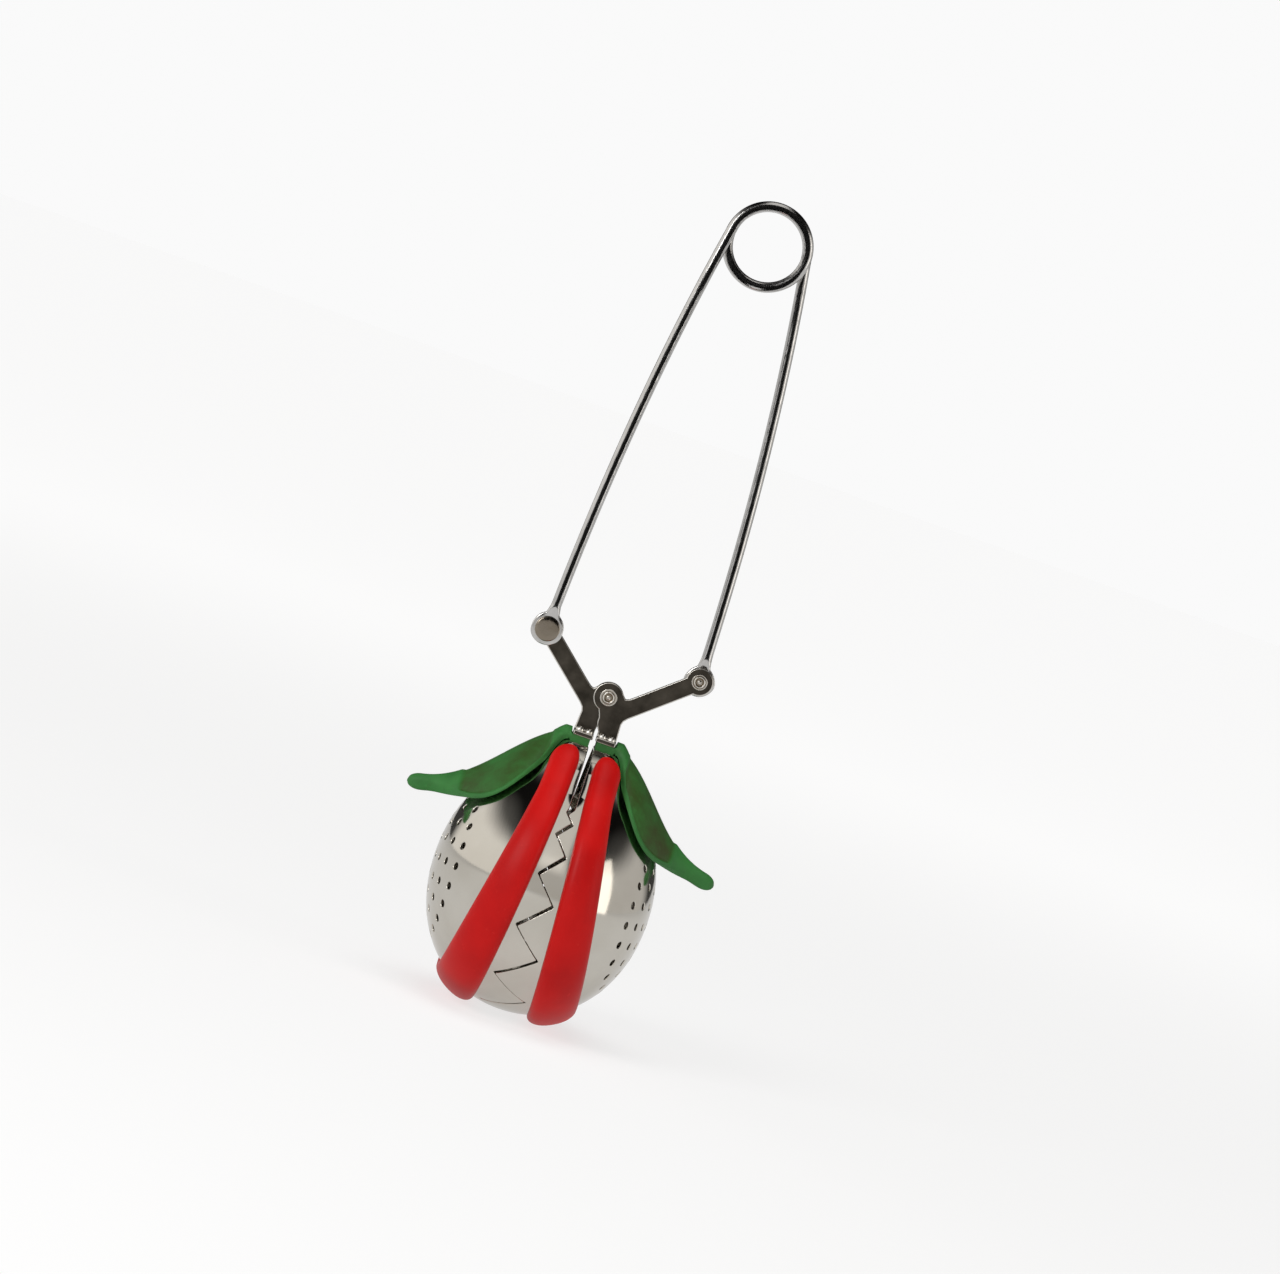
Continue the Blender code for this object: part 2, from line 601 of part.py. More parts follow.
def leaf_section(t):
    """Half width, droop of the edge and thickness of the blade at t along the midrib."""
    share = min(1.0, t / LEAF_BLADE_END)
    blade = max(0.0, math.sin(math.pi * share ** LEAF_BLADE_SKEW)) ** LEAF_BLADE_POWER
    root = TONGUE_HALF_WIDTH
    root += (LEAF_BAR_RADIUS - TONGUE_HALF_WIDTH) * smoothstep(t / LEAF_FLARE_END)
    half_width = ((blade * LEAF_HALF_WIDTH) ** 3 + root ** 3) ** (1.0 / 3.0)
    droop = LEAF_ROOT_DROOP + LEAF_DROOP * blade ** 0.9
    bar = smoothstep((t - 0.6) / 0.25)
    thickness = LEAF_ROOT_THICKNESS + (LEAF_THICKNESS - LEAF_ROOT_THICKNESS) * smoothstep(t / 0.3)
    thickness += (2.0 * LEAF_BAR_RADIUS - thickness) * bar
    return half_width, droop, thickness


def clear_of_ball(point, clearance):
    """How far a point has to move out from the ball's X axis to clear the shell."""
    arm = point - BALL_CENTRE
    out = Vector((0.0, arm.y, arm.z))
    phi = math.atan2(-arm.y, arm.z) % (2.0 * math.pi)
    short = ball_radius(arm.x, phi) + clearance - out.length
    return out.normalized() * max(0.0, short)


def leaf_ring(side, t, scale=1.0):
    """One closed section of the leaf across its midrib, top skin then underside."""
    top = leaf_line(t)
    ahead = (leaf_line(min(1.0, t + 0.01)) - leaf_line(max(0.0, t - 0.01))).normalized()
    under = Vector((-ahead.y * smoothstep(t / 0.15), ahead.x)).normalized()
    half_width, droop, thickness = leaf_section(t)
    centre = top + under * thickness / 2.0
    upper = []
    lower = []
    for k in range(LEAF_POINTS):
        across = -math.cos(math.pi * k / (LEAF_POINTS - 1))
        body = (1.0 - abs(across) ** LEAF_ROUNDNESS) ** (1.0 / LEAF_ROUNDNESS)
        half = scale * thickness / 2.0 * (LEAF_EDGE_SHARE + (1.0 - LEAF_EDGE_SHARE) * body)
        fall = droop * abs(across) ** LEAF_DROOP_CURVE
        y = scale * half_width * across
        skins = []
        for offset in (-half, half):
            drop = under * offset
            skins.append(Vector((side * (centre.x + drop.x), y,
                                 CENTRE_PIVOT_Z - (centre.y + drop.y + fall))))
        push = clear_of_ball(skins[1], LEAF_CLEARANCE)
        upper.append(skins[0] + push)
        lower.append(skins[1] + push)
    return upper + lower[::-1]


def make_leaf(side, material, hinge):
    """A saddle-shaped leaf: tongue under the arm's foot, broad blade, round curled tip."""
    tongue_top = FOOT_DEPTH + FOOT_THICKNESS + GAP
    rings = []
    for x in (FOOT_INNER_X + 0.4 * MM, FOOT_OUTER_X + GAP):
        upper = []
        lower = []
        for k in range(LEAF_POINTS):
            y = -TONGUE_HALF_WIDTH * math.cos(math.pi * k / (LEAF_POINTS - 1))
            upper.append(Vector((side * x, y, CENTRE_PIVOT_Z - tongue_top)))
            lower.append(Vector((side * x, y, CENTRE_PIVOT_Z - tongue_top - TONGUE)))
        rings.append(upper + lower[::-1])
    for i in range(LEAF_STEPS + 1):
        rings.append(leaf_ring(side, 0.955 * i / LEAF_STEPS))
    for t, scale in LEAF_TIP_RINGS:
        rings.append(leaf_ring(side, t, scale))
    bm = bmesh.new()
    add_loft(bm, rings)
    leaf = finish_piece(f"{SIDE_NAME[side]}_leaf", bm, material, hinge)
    holes = bmesh.new()
    add_foot_bores(holes, side)
    cut_piece(leaf, holes)
    return leaf


# ---------------------------------------------------------------- assembly

def make_materials():
    return {
        "wire": make_material("polished spring steel", (0.62, 0.62, 0.62), 0.18, 1.0),
        "plate": make_material("satin steel plate", (0.34, 0.33, 0.31), 0.38, 1.0),
        "rivet": make_material("bright rivet steel", (0.72, 0.70, 0.66), 0.22, 1.0),
        "sheet": make_material("mirror polished sheet", (0.74, 0.73, 0.71), 0.10, 1.0),
        "red": make_material("red silicone", (0.62, 0.012, 0.014), 0.34, 0.0),
        "green": make_material("green silicone", (0.032, 0.20, 0.042), 0.52, 0.0),
    }


def make_side(side, materials, root):
    """The leg, jaw and rivets of one side; the centre rivet is fixed to the left jaw."""
    name = SIDE_NAME[side]
    leg_hinge = make_hinge(f"{name}_leg_hinge", (0.0, 0.0, 0.0))
    leg_hinge.parent = root
    pivot = Vector((side * LEG_PIVOT_X, 0.0, LEG_PIVOT_Z))
    jaw_hinge = make_hinge(f"{name}_jaw_hinge", pivot)
    jaw_hinge.parent = leg_hinge
    make_leg(side, materials["wire"], leg_hinge)
    make_pivot_rivet(f"{name}_pivot_rivet", pivot, RIVET_HEAD, materials["rivet"], leg_hinge)
    make_arm(side, materials["plate"], jaw_hinge)
    for number in range(len(FOOT_RIVET_XS)):
        make_foot_rivet(side, number, materials["rivet"], jaw_hinge)
    make_shell(side, materials["sheet"], jaw_hinge)
    make_lip(side, materials["red"], jaw_hinge)
    make_leaf(side, materials["green"], jaw_hinge)
    if side == LEFT:
        make_pivot_rivet("centre_pivot_rivet", CENTRE_PIVOT, CENTRE_RIVET_HEAD,
                         materials["rivet"], jaw_hinge)


def main():
    clear_scene()
    materials = make_materials()
    root = make_hinge("handle", (0.0, 0.0, 0.0))
    make_handle_coil(materials["wire"], root)
    make_side(LEFT, materials, root)
    make_side(RIGHT, materials, root)


main()
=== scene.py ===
"""Looks of the pincer tea infuser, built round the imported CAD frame.

Metres, +Z up, origin at the centre of the handle's loop. The jaws open along X, every hinge
axis runs along Y, the front faces -Y, and left pieces lie at -X.
"""
from math import (acos, asin, atan2, ceil, copysign, cos, exp, hypot, pi, radians, sin, sqrt, tau)

import bmesh
import bpy
import numpy as np
from mathutils import Matrix, Vector
from mathutils.geometry import delaunay_2d_cdt


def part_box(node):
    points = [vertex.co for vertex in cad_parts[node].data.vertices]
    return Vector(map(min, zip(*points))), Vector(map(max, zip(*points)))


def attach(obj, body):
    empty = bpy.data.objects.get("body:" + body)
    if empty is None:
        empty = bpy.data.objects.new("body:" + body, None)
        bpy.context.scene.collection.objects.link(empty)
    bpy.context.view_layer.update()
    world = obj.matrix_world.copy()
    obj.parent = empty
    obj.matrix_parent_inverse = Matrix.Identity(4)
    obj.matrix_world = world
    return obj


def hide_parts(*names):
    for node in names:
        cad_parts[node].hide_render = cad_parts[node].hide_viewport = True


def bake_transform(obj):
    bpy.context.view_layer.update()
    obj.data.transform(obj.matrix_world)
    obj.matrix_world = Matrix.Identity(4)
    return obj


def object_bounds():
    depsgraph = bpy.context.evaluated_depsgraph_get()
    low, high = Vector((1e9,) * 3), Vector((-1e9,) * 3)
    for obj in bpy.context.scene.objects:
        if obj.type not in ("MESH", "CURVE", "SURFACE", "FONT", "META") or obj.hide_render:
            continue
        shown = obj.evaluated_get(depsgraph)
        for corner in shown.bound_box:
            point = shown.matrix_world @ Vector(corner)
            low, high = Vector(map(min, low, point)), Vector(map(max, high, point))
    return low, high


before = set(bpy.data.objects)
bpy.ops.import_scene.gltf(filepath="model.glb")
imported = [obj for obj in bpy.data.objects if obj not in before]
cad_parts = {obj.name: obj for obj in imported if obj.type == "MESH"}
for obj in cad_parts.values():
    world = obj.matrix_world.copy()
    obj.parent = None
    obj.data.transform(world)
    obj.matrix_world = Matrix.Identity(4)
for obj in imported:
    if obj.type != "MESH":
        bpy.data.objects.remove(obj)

CAD_LOW, CAD_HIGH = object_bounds()

MM = 0.001
LEFT = -1
RIGHT = 1
SIDE_NAME = {LEFT: "left", RIGHT: "right"}
SEAT = 0.06 * MM                  # hairline between pieces that slide on each other
TOUCH = 0.01 * MM                 # hairline between pieces that stay put


def box_centre(node):
    low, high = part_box(node)
    return (low + high) / 2.0


# Handle wire
WIRE_RADIUS = 1.05 * MM
LOOP_RADIUS = 8.0 * MM
LOOP_RISE = 2.4 * MM
LEG_SPLAY_TOP = radians(10.0)
LEG_SPLAY_BOTTOM = radians(1.5)
LOOP_TURN = 3.0 * pi - 2.0 * LEG_SPLAY_TOP
SEAM_ANGLE = -1.5 * pi       # top of the loop's back turn, where the two wires meet
WIRE_SIDES = 28
EYE_RADIUS = {LEFT: 3.3 * MM, RIGHT: 3.1 * MM}
EYE_THICKNESS = 1.1 * MM
EYE_NECK = 5.0 * MM               # the round wire starts to flatten this far above its eye
EYE_TAPER = 1.4 * MM              # half width of the flat wire where it meets the disc
EYE_DENT = 0.035                  # unevenness of the hammered edge
EYE_EDGE = 0.25 * MM

# Linkage
CENTRE_PIVOT = Vector((0.0, 0.0, box_centre("centre_pivot_rivet").z))
LEG_PIVOT = {side: Vector((box_centre(f"{SIDE_NAME[side]}_pivot_rivet").x, 0.0,
                           box_centre(f"{SIDE_NAME[side]}_pivot_rivet").z))
             for side in (LEFT, RIGHT)}
LAYER_GAP = 0.3 * MM
PLATE = 1.1 * MM
PLATE_EDGE = 0.26 * MM            # rolled edge of a stamped arm
ARM_BOSS_RADIUS = 2.75 * MM
CENTRE_BOSS_RADIUS = 3.05 * MM
CENTRE_BORE = {LEFT: 0.9 * MM, RIGHT: 1.3 * MM}
BAR_HALF_WIDTH = 1.8 * MM
BAR_ANGLE = radians(40.5)
FOOT_INNER_X = 0.3 * MM
FOOT_OUTER_X = 4.4 * MM
FOOT_DEPTH = 8.0 * MM
FOOT_THICKNESS = 1.0 * MM
FOOT_FRONT_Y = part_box("left_arm")[0].y
PIVOT_HEAD = 1.62 * MM
CENTRE_HEAD = 1.75 * MM           # covers the right arm's loose bore when squeezed
PIVOT_SHANK = 0.78 * MM
FOOT_SHANK = 0.5 * MM
LEFT_DOME = 2.55 * MM             # plain front head of the left leg's rivet
LEG_BORE = 1.15 * MM
FOOT_BORE = 0.6 * MM
FOOT_BEND_RADIUS = 0.8 * MM       # outside of the foot's bend, then inside
FOOT_CREASE_RADIUS = 0.35 * MM
WORN_AND_LIT_LEAN = (0.25, 0.97)          # how far an edge with wear and painted highlight faces the front: foot's least, and most
WAIST_X = {LEFT: 0.05 * MM, RIGHT: -0.55 * MM}
LOWER_BEND = ((0.9, 0.8), (0.25, 0.05), (0.02, -0.7))     # millimetres in x and z
UPPER_BEND = ((-0.62, -0.18), (0.1, 0.12), (1.0, 0.85))
FOOT_RIVETS = {name: box_centre(f"right_foot_rivet_{name}") for name in ("inner", "outer")}

# Ball
BALL_RADIUS = -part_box("left_shell")[0].y
BALL_HALF_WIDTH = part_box("right_shell")[1].x
BALL_CENTRE = Vector((0.0, 0.0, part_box("left_shell")[0].z + BALL_RADIUS))
BALL_POWER = 2.1
SHEET = 0.6 * MM
NECK_RISE = 5.6 * MM
NECK_ANGLE = radians(42.0)
NECK_FLAT_X = 5.0 * MM
NECK_END_X = 10.5 * MM
LAND_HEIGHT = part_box("left_shell")[1].z - BALL_CENTRE.z


def smoothstep(value):
    value = min(max(value, 0.0), 1.0)
    return value * value * (3.0 - 2.0 * value)


def mix(a, b, share):
    return a + (b - a) * share


# ---------------- node materials

def add_node(tree, kind, plugs=None, **settings):
    """A shader node; each plug, by the input's name or number, is a value or another's output."""
    node = tree.nodes.new("ShaderNode" + kind)
    for key, value in settings.items():
        setattr(node, key, value)
    for key, value in (plugs or {}).items():
        if isinstance(value, bpy.types.NodeSocket):
            tree.links.new(value, node.inputs[key])
        else:
            node.inputs[key].default_value = value
    return node


def map_range(tree, value, start, end, low, high, interpolation="LINEAR"):
    plugs = {"From Min": start, "From Max": end, "To Min": low, "To Max": high, "Value": value}
    return add_node(tree, "MapRange", plugs, interpolation_type=interpolation).outputs["Result"]


def smooth_band(tree, value, band, low, high):
    """A smooth step from low to high while the value crosses the band."""
    return map_range(tree, value, *band, low, high, "SMOOTHSTEP")


class Surface:
    """A Principled material whose colour, roughness and bump are driven by noise in metres."""

    def __init__(self, name):
        self.material = bpy.data.materials.new(name)
        self.material.use_nodes = True
        self.tree = self.material.node_tree
        self.shader = self.tree.nodes["Principled BSDF"]
        self.place = add_node(self.tree, "TexCoord").outputs["Object"]

    def set(self, **values):
        for key, value in values.items():
            self.shader.inputs[key.replace("_", " ")].default_value = value

    def drive(self, socket, output):
        self.tree.links.new(output, self.shader.inputs[socket])

    def stretched(self, scale):
        return add_node(self.tree, "Mapping", {"Scale": scale, "Vector": self.place}).outputs[0]

    def noise(self, scale, detail=4.0, place=None, rough=0.5):
        plugs = {"Scale": scale, "Detail": detail, "Roughness": rough, "Vector": place or self.place}
        return add_node(self.tree, "TexNoise", plugs).outputs["Fac"]

    def spread(self, factor, low, high, start=0.3, end=0.7):
        return map_range(self.tree, factor, start, end, low, high)

    def ramp(self, factor, *stops):
        node = add_node(self.tree, "ValToRGB", {"Fac": factor})
        elements = node.color_ramp.elements
        while len(elements) < len(stops):
            elements.new(0.5)
        for element, (position, colour) in zip(elements, stops):
            element.position = position
            element.color = (*colour, 1.0)
        return node.outputs["Color"]

    def blend(self, factor, first, second):
        """Mix colours, each an output or a plain (red, green, blue)."""
        first, second = ((*c, 1.0) if isinstance(c, tuple) else c for c in (first, second))
        return add_node(self.tree, "Mix", {0: factor, 6: first, 7: second},
                        data_type="RGBA").outputs[2]

    def attribute(self, name):
        return add_node(self.tree, "Attribute", attribute_name=name).outputs["Fac"]

    def bump(self, *layers):
        """Stack (height, distance in metres) layers into the shader's normal."""
        plugs = {}
        for height, distance in layers:
            plugs.update(Distance=distance, Height=height)
            plugs["Normal"] = add_node(self.tree, "Bump", plugs).outputs["Normal"]
        self.drive("Normal", plugs["Normal"])


def make_wire_steel():
    """Drawn spring steel: bright, with faint lines along the wire."""
    s = Surface("polished_spring_steel")
    s.set(Metallic=1.0)
    lines = s.noise(90.0, 6.0, s.stretched((60.0, 60.0, 1.5)))
    cloud = s.noise(260.0, 3.0)
    s.drive("Base Color", s.ramp(cloud, (0.3, (0.56, 0.55, 0.535)), (0.7, (0.66, 0.65, 0.635))))
    s.drive("Roughness", s.spread(lines, 0.10, 0.19))
    s.bump((lines, 0.00002))
    return s.material


def make_plate_steel():
    """Stamped plate with a dark satin face; its edges are painted bright, part edge wear and part
    painted highlight.
    """
    s = Surface("dark_satin_plate")
    s.set(Metallic=1.0)
    grain = s.noise(2600.0, 5.0)
    smear = s.noise(320.0, 5.0)
    face = s.ramp(smear, (0.3, (0.038, 0.033, 0.026)), (0.7, (0.085, 0.074, 0.060)))
    # Edge colour: part real edge wear, part painted highlight on the bevels that face partly to the
    # front.
    edge = s.spread(s.attribute("edge"), 0.0, 1.0, 0.25, 0.85)
    s.drive("Base Color", s.blend(edge, face, (0.66, 0.63, 0.58)))
    s.drive("Roughness", s.spread(smear, 0.26, 0.40))
    s.bump((grain, 0.000012), (smear, 0.00003))
    return s.material


def make_rivet_steel():
    s = Surface("bright_rivet_steel")
    s.set(Metallic=1.0)
    marks = s.noise(1500.0, 5.0)
    cloud = s.noise(500.0, 3.0)
    bright = s.ramp(cloud, (0.3, (0.64, 0.61, 0.55)), (0.7, (0.78, 0.75, 0.70)))
    # Painted shade: the sunk mask darkens a rolled head's rim, dish, groove and bead; on a plain
    # dome it gives a darker brownish tone.
    s.drive("Base Color", s.blend(s.attribute("sunk"), bright, (0.16, 0.12, 0.075)))
    s.drive("Roughness", s.spread(marks, 0.13, 0.26))
    s.bump((marks, 0.00002))
    return s.material


def make_mirror_steel():
    """Mirror-polished stainless sheet with faint polishing haze, drawn waves and hair scratches."""
    s = Surface("mirror_polished_sheet")
    s.set(Metallic=1.0)
    haze = s.noise(70.0, 4.0)
    hair = s.noise(55.0, 7.0, s.stretched((30.0, 2.0, 2.0)), 0.7)
    waves = s.noise(45.0, 1.0)
    s.drive("Base Color", s.ramp(haze, (0.3, (0.58, 0.545, 0.48)), (0.7, (0.67, 0.64, 0.58))))
    s.drive("Roughness", s.spread(haze, 0.055, 0.12))
    s.bump((waves, 0.0001), (hair, 0.000008))
    return s.material


def make_red_silicone():
    """Satin moulded silicone: soft sheen, fine matte grain, slightly deeper red in patches."""
    s = Surface("red_silicone")
    s.set(Specular_IOR_Level=0.12, Coat_Weight=0.02, Coat_Roughness=0.3)
    cloud = s.noise(75.0, 4.0)
    grain = s.noise(3800.0, 3.0)
    specks = s.noise(900.0, 2.0)
    base = s.ramp(cloud, (0.32, (0.47, 0.005, 0.005)), (0.68, (0.63, 0.008, 0.007)))
    s.drive("Base Color", s.blend(s.spread(specks, 0.0, 0.35, 0.66, 0.75), base,
                                  (0.66, 0.025, 0.018)))
    s.drive("Roughness", s.spread(cloud, 0.36, 0.46))
    s.bump((grain, 0.00001), (cloud, 0.00006))
    return s.material


def make_green_silicone():
    """Matte moulded silicone; the recessed panel of the blade is darker and mottled."""
    s = Surface("green_silicone")
    s.set(Specular_IOR_Level=0.25)
    cloud = s.noise(95.0, 6.0, rough=0.65)
    fleck = s.noise(700.0, 5.0, rough=0.7)
    grain = s.noise(3400.0, 3.0)
    plain = s.ramp(cloud, (0.3, (0.030, 0.140, 0.032)), (0.7, (0.046, 0.220, 0.048)))
    mottle = s.ramp(cloud, (0.28, (0.040, 0.052, 0.011)), (0.43, (0.036, 0.096, 0.019)),
                    (0.66, (0.036, 0.176, 0.036)))
    body = s.blend(s.attribute("panel"), plain, mottle)
    body = s.blend(s.spread(fleck, 0.0, 0.5, 0.55, 0.72), body, (0.045, 0.15, 0.035))
    s.drive("Base Color", body)
    s.drive("Roughness", s.spread(cloud, 0.46, 0.62))
    s.bump((grain, 0.000012), (fleck, 0.00003))
    return s.material


# ---------------- mesh helpers

def link(name, data):
    obj = bpy.data.objects.new(name, data)
    bpy.context.scene.collection.objects.link(obj)
    return obj


def finish_piece(name, mesh, material, body, nodes):
    mesh.materials.append(material)
    piece = link(name, mesh)
    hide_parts(*nodes)
    if body:
        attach(piece, body)
    return piece


def finish_jaw_piece(side, name, mesh, material, node):
    """A piece that moves with its side's jaw and stands for one CAD node of that side."""
    name = f"{SIDE_NAME[side]}_{name}"
    finish_piece(name, mesh, material, f"{SIDE_NAME[side]}_jaw", [f"{SIDE_NAME[side]}_{node}"])


def angles(end, steps):
    """Angles from 0 to the end, in equal steps."""
    return [end * k / steps for k in range(steps + 1)]


def face_outward(mesh):
    bm = bmesh.new()
    bm.from_mesh(mesh)
    bmesh.ops.recalc_face_normals(bm, faces=bm.faces)
    bm.to_mesh(mesh)
    bm.free()
    mesh.shade_smooth()


def turned_rings(outline, place, segments):
    """Rings of points: each (radius, height, ...) of an outline turned round a matrix's Z axis."""
    turns = angles(tau, segments)[:-1]
    return [[place @ Vector((radius * cos(a), radius * sin(a), height)) for a in turns]
            for radius, height, *_ in outline]


def on_side(side, point):
    """Mirror a point of the right half on to a side."""
    return Vector((side * point.x, point.y, point.z))


def set_mask(mesh, name, values):
    attribute = mesh.attributes.new(name, "FLOAT", "POINT")
    attribute.data.foreach_set("value", np.array(values, np.float32))


def loft_mesh(name, rings, mask=None, mask_name=None):
    """Skin equal rings of points with quads, and cap both ends."""
    count = len(rings[0])
    points = [point for ring in rings for point in ring]
    faces = []
    for first in range(0, len(points) - count, count):
        for k in range(count):
            n = (k + 1) % count
            faces.append((first + k, first + n, first + count + n, first + count + k))
    faces.append(tuple(range(count)))
    faces.append(tuple(range(len(points) - count, len(points))))
    mesh = bpy.data.meshes.new(name)
    mesh.from_pydata([tuple(p) for p in points], [], faces)
    if mask:
        set_mask(mesh, mask_name, mask)
    face_outward(mesh)
    return mesh


def rounded(points, radius, steps=5):
    """A closed (a, b) polygon with each corner turned into a short curve."""
    smooth = []
    for i, corner in enumerate(points):
        corner = Vector(corner)
        before = Vector(points[i - 1]) - corner
        after = Vector(points[(i + 1) % len(points)]) - corner
        cut = min(radius, 0.45 * before.length, 0.45 * after.length)
        start = corner + before.normalized() * cut
        end = corner + after.normalized() * cut
        for k in range(steps + 1):
            t = k / steps
            smooth.append((1 - t) ** 2 * start + 2 * t * (1 - t) * corner + t * t * end)
    return smooth


def resampled(points, pitch):
    """A closed polygon with its long edges split into steps of about the pitch."""
    dense = []
    for i, point in enumerate(points):
        after = points[(i + 1) % len(points)]
        count = max(1, ceil((after - point).length / pitch))
        dense += [point.lerp(after, k / count) for k in range(count)]
    return dense


# ---------------- handle wire

def loop_point(angle):
    start = pi - LEG_SPLAY_TOP
    y = LOOP_RISE * ((start - angle) - LOOP_TURN / 2.0) / (tau)
    return Vector((LOOP_RADIUS * cos(angle), y, LOOP_RADIUS * sin(angle)))


def leg_point(side, t):
    """Centreline of a leg from the loop to its eye: a Hermite curve."""
    start = loop_point(pi / 2.0 - side * (pi / 2.0 - LEG_SPLAY_TOP))
    if side == RIGHT:
        start.y = -loop_point(pi - LEG_SPLAY_TOP).y
    end = LEG_PIVOT[side] + Vector((0.0, side * (LAYER_GAP + PLATE) / 2.0, 0.0))
    chord = (end - start).length
    out = Vector((side * sin(LEG_SPLAY_TOP), 0.0, -cos(LEG_SPLAY_TOP))) * chord
    down = Vector((side * sin(LEG_SPLAY_BOTTOM), 0.0, -cos(LEG_SPLAY_BOTTOM))) * chord
    return ((2 * t ** 3 - 3 * t ** 2 + 1) * start + (t ** 3 - 2 * t ** 2 + t) * out
            + (3 * t ** 2 - 2 * t ** 3) * end + (t ** 3 - t ** 2) * down)


def wire_ring(centre, ahead, half_thickness, half_width, power=2.0):
    flat = Vector((0.0, 1.0, 0.0))
    flat = (flat - flat.dot(ahead) * ahead).normalized()
    across = ahead.cross(flat)
    ring = []
    for i in range(WIRE_SIDES):
        angle = tau * (i + 0.5) / WIRE_SIDES
        c, s = cos(angle), sin(angle)
        ring.append(centre
                    + flat * half_thickness * copysign(abs(c) ** (2.0 / power), c)
                    + across * half_width * copysign(abs(s) ** (2.0 / power), s))
    return ring


def loop_rings(side):
    """The part of the loop that belongs to one wire, from the seam to the tangent point."""
    last = pi - LEG_SPLAY_TOP - (LOOP_TURN if side == RIGHT else 0.0)
    steps = round(abs(last - SEAM_ANGLE) / radians(3.0))
    rise = -LOOP_RISE / (tau)
    rings = []
    for i in range(steps):
        angle = mix(SEAM_ANGLE, last, i / steps)
        ahead = Vector((-LOOP_RADIUS * sin(angle), rise, LOOP_RADIUS * cos(angle)))
        ahead = ahead.normalized() * copysign(1.0, last - SEAM_ANGLE)
        rings.append(wire_ring(loop_point(angle), ahead, WIRE_RADIUS, WIRE_RADIUS))
    return rings


def eye_rings(side):
    """The wire's end hammered flat: from the round neck, out to the disc and round it."""
    centre = leg_point(side, 1.0)
    down = (centre - leg_point(side, 0.98)).normalized()
    radius = EYE_RADIUS[side]
    rings = []
    steps = 46
    for i in range(steps + 1):
        along = -EYE_NECK + (EYE_NECK + 0.999 * radius) * (1.0 - (1.0 - i / steps) ** 1.6)
        disc = sqrt(max(0.0, radius ** 2 - along ** 2))
        flat = smoothstep((along + EYE_NECK) / (EYE_NECK - 0.72 * radius))
        taper = mix(WIRE_RADIUS, EYE_TAPER, flat)
        half_width = disc if along > 0.0 else (disc ** 5 + taper ** 5) ** 0.2
        half_thickness = mix(WIRE_RADIUS, EYE_THICKNESS / 2.0, flat)
        half_thickness *= min(1.0, (radius - along) / EYE_EDGE) ** 0.5
        dent = 1.0 + EYE_DENT * sin(along / (0.9 * MM) + side)
        rings.append(wire_ring(centre + down * along, down, half_thickness * 0.96,
                               half_width * dent, mix(2.0, 4.5, flat)))
    return rings


def make_wire(side, material):
    """One leg with its part of the loop: it bends from the handle's body into the leg's."""
    length = (leg_point(side, 1.0) - leg_point(side, 0.0)).length
    rings = loop_rings(side)
    steps = 90
    for i in range(steps):
        t = (1.0 - EYE_NECK / length) * i / steps
        ahead = (leg_point(side, t + 0.002) - leg_point(side, t - 0.002)).normalized()
        rings.append(wire_ring(leg_point(side, t), ahead, WIRE_RADIUS, WIRE_RADIUS))
    rings += eye_rings(side)
    name = f"{SIDE_NAME[side]}_wire"
    nodes = [f"{SIDE_NAME[side]}_leg"] + (["handle_coil"] if side == LEFT else [])
    mesh = loft_mesh(name, rings)
    mesh.set_sharp_from_angle(angle=radians(60.0))
    wire = finish_piece(name, mesh, material, None, nodes)
    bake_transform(wire)


# ---------------- arms and rivets

def arc(centre, radius, start, end, steps):
    turns = [mix(start, end, i / steps) for i in range(steps + 1)]
    return [(centre[0] + radius * cos(a), centre[1] + radius * sin(a)) for a in turns]


def arm_outline(side):
    """Outline of the right arm in (x, z) round the centre pivot, down to its foot."""
    pivot = LEG_PIVOT[RIGHT] - CENTRE_PIVOT
    outer = Vector((pivot.x, pivot.z))
    along = Vector((cos(BAR_ANGLE), sin(BAR_ANGLE)))
    across = Vector((-along.y, along.x))
    turn = pi - asin(BAR_HALF_WIDTH / ARM_BOSS_RADIUS)
    points = arc(outer, ARM_BOSS_RADIUS, BAR_ANGLE + turn, BAR_ANGLE - turn, 60)
    lower = outer - across * BAR_HALF_WIDTH
    lower = lower - along * ((lower.x - 0.95 * FOOT_OUTER_X) / along.x)
    points += [(lower.x + x * MM, lower.y + z * MM) for x, z in LOWER_BEND]
    points += [(FOOT_OUTER_X, -FOOT_DEPTH), (FOOT_INNER_X, -FOOT_DEPTH)]
    waist = WAIST_X[side]
    points += [(FOOT_INNER_X, -FOOT_DEPTH + 0.9 * MM), (mix(FOOT_INNER_X, waist, 0.8), -5.9 * MM),
               (waist, -5.2 * MM), (waist, -4.3 * MM), (waist - 0.25 * MM, -3.6 * MM)]
    points += arc((0.0, 0.0), CENTRE_BOSS_RADIUS, radians(248.0), radians(30.0), 48)
    upper = outer + across * BAR_HALF_WIDTH
    start = upper - along * ((upper.x - 1.3 * CENTRE_BOSS_RADIUS) / along.x)
    return points + [(start.x + x * MM, start.y + z * MM) for x, z in UPPER_BEND]


def extrude_along_y(bm, faces, distance):
    grown = bmesh.ops.extrude_face_region(bm, geom=faces)
    moved = [item for item in grown["geom"] if isinstance(item, bmesh.types.BMVert)]
    bmesh.ops.translate(bm, verts=moved, vec=(0.0, distance, 0.0))


def edges_along_x(bm, y, z):
    near = 0.02 * MM
    return [e for e in bm.edges
            if all(abs(v.co.y - y) < near and abs(v.co.z - z) < near for v in e.verts)]


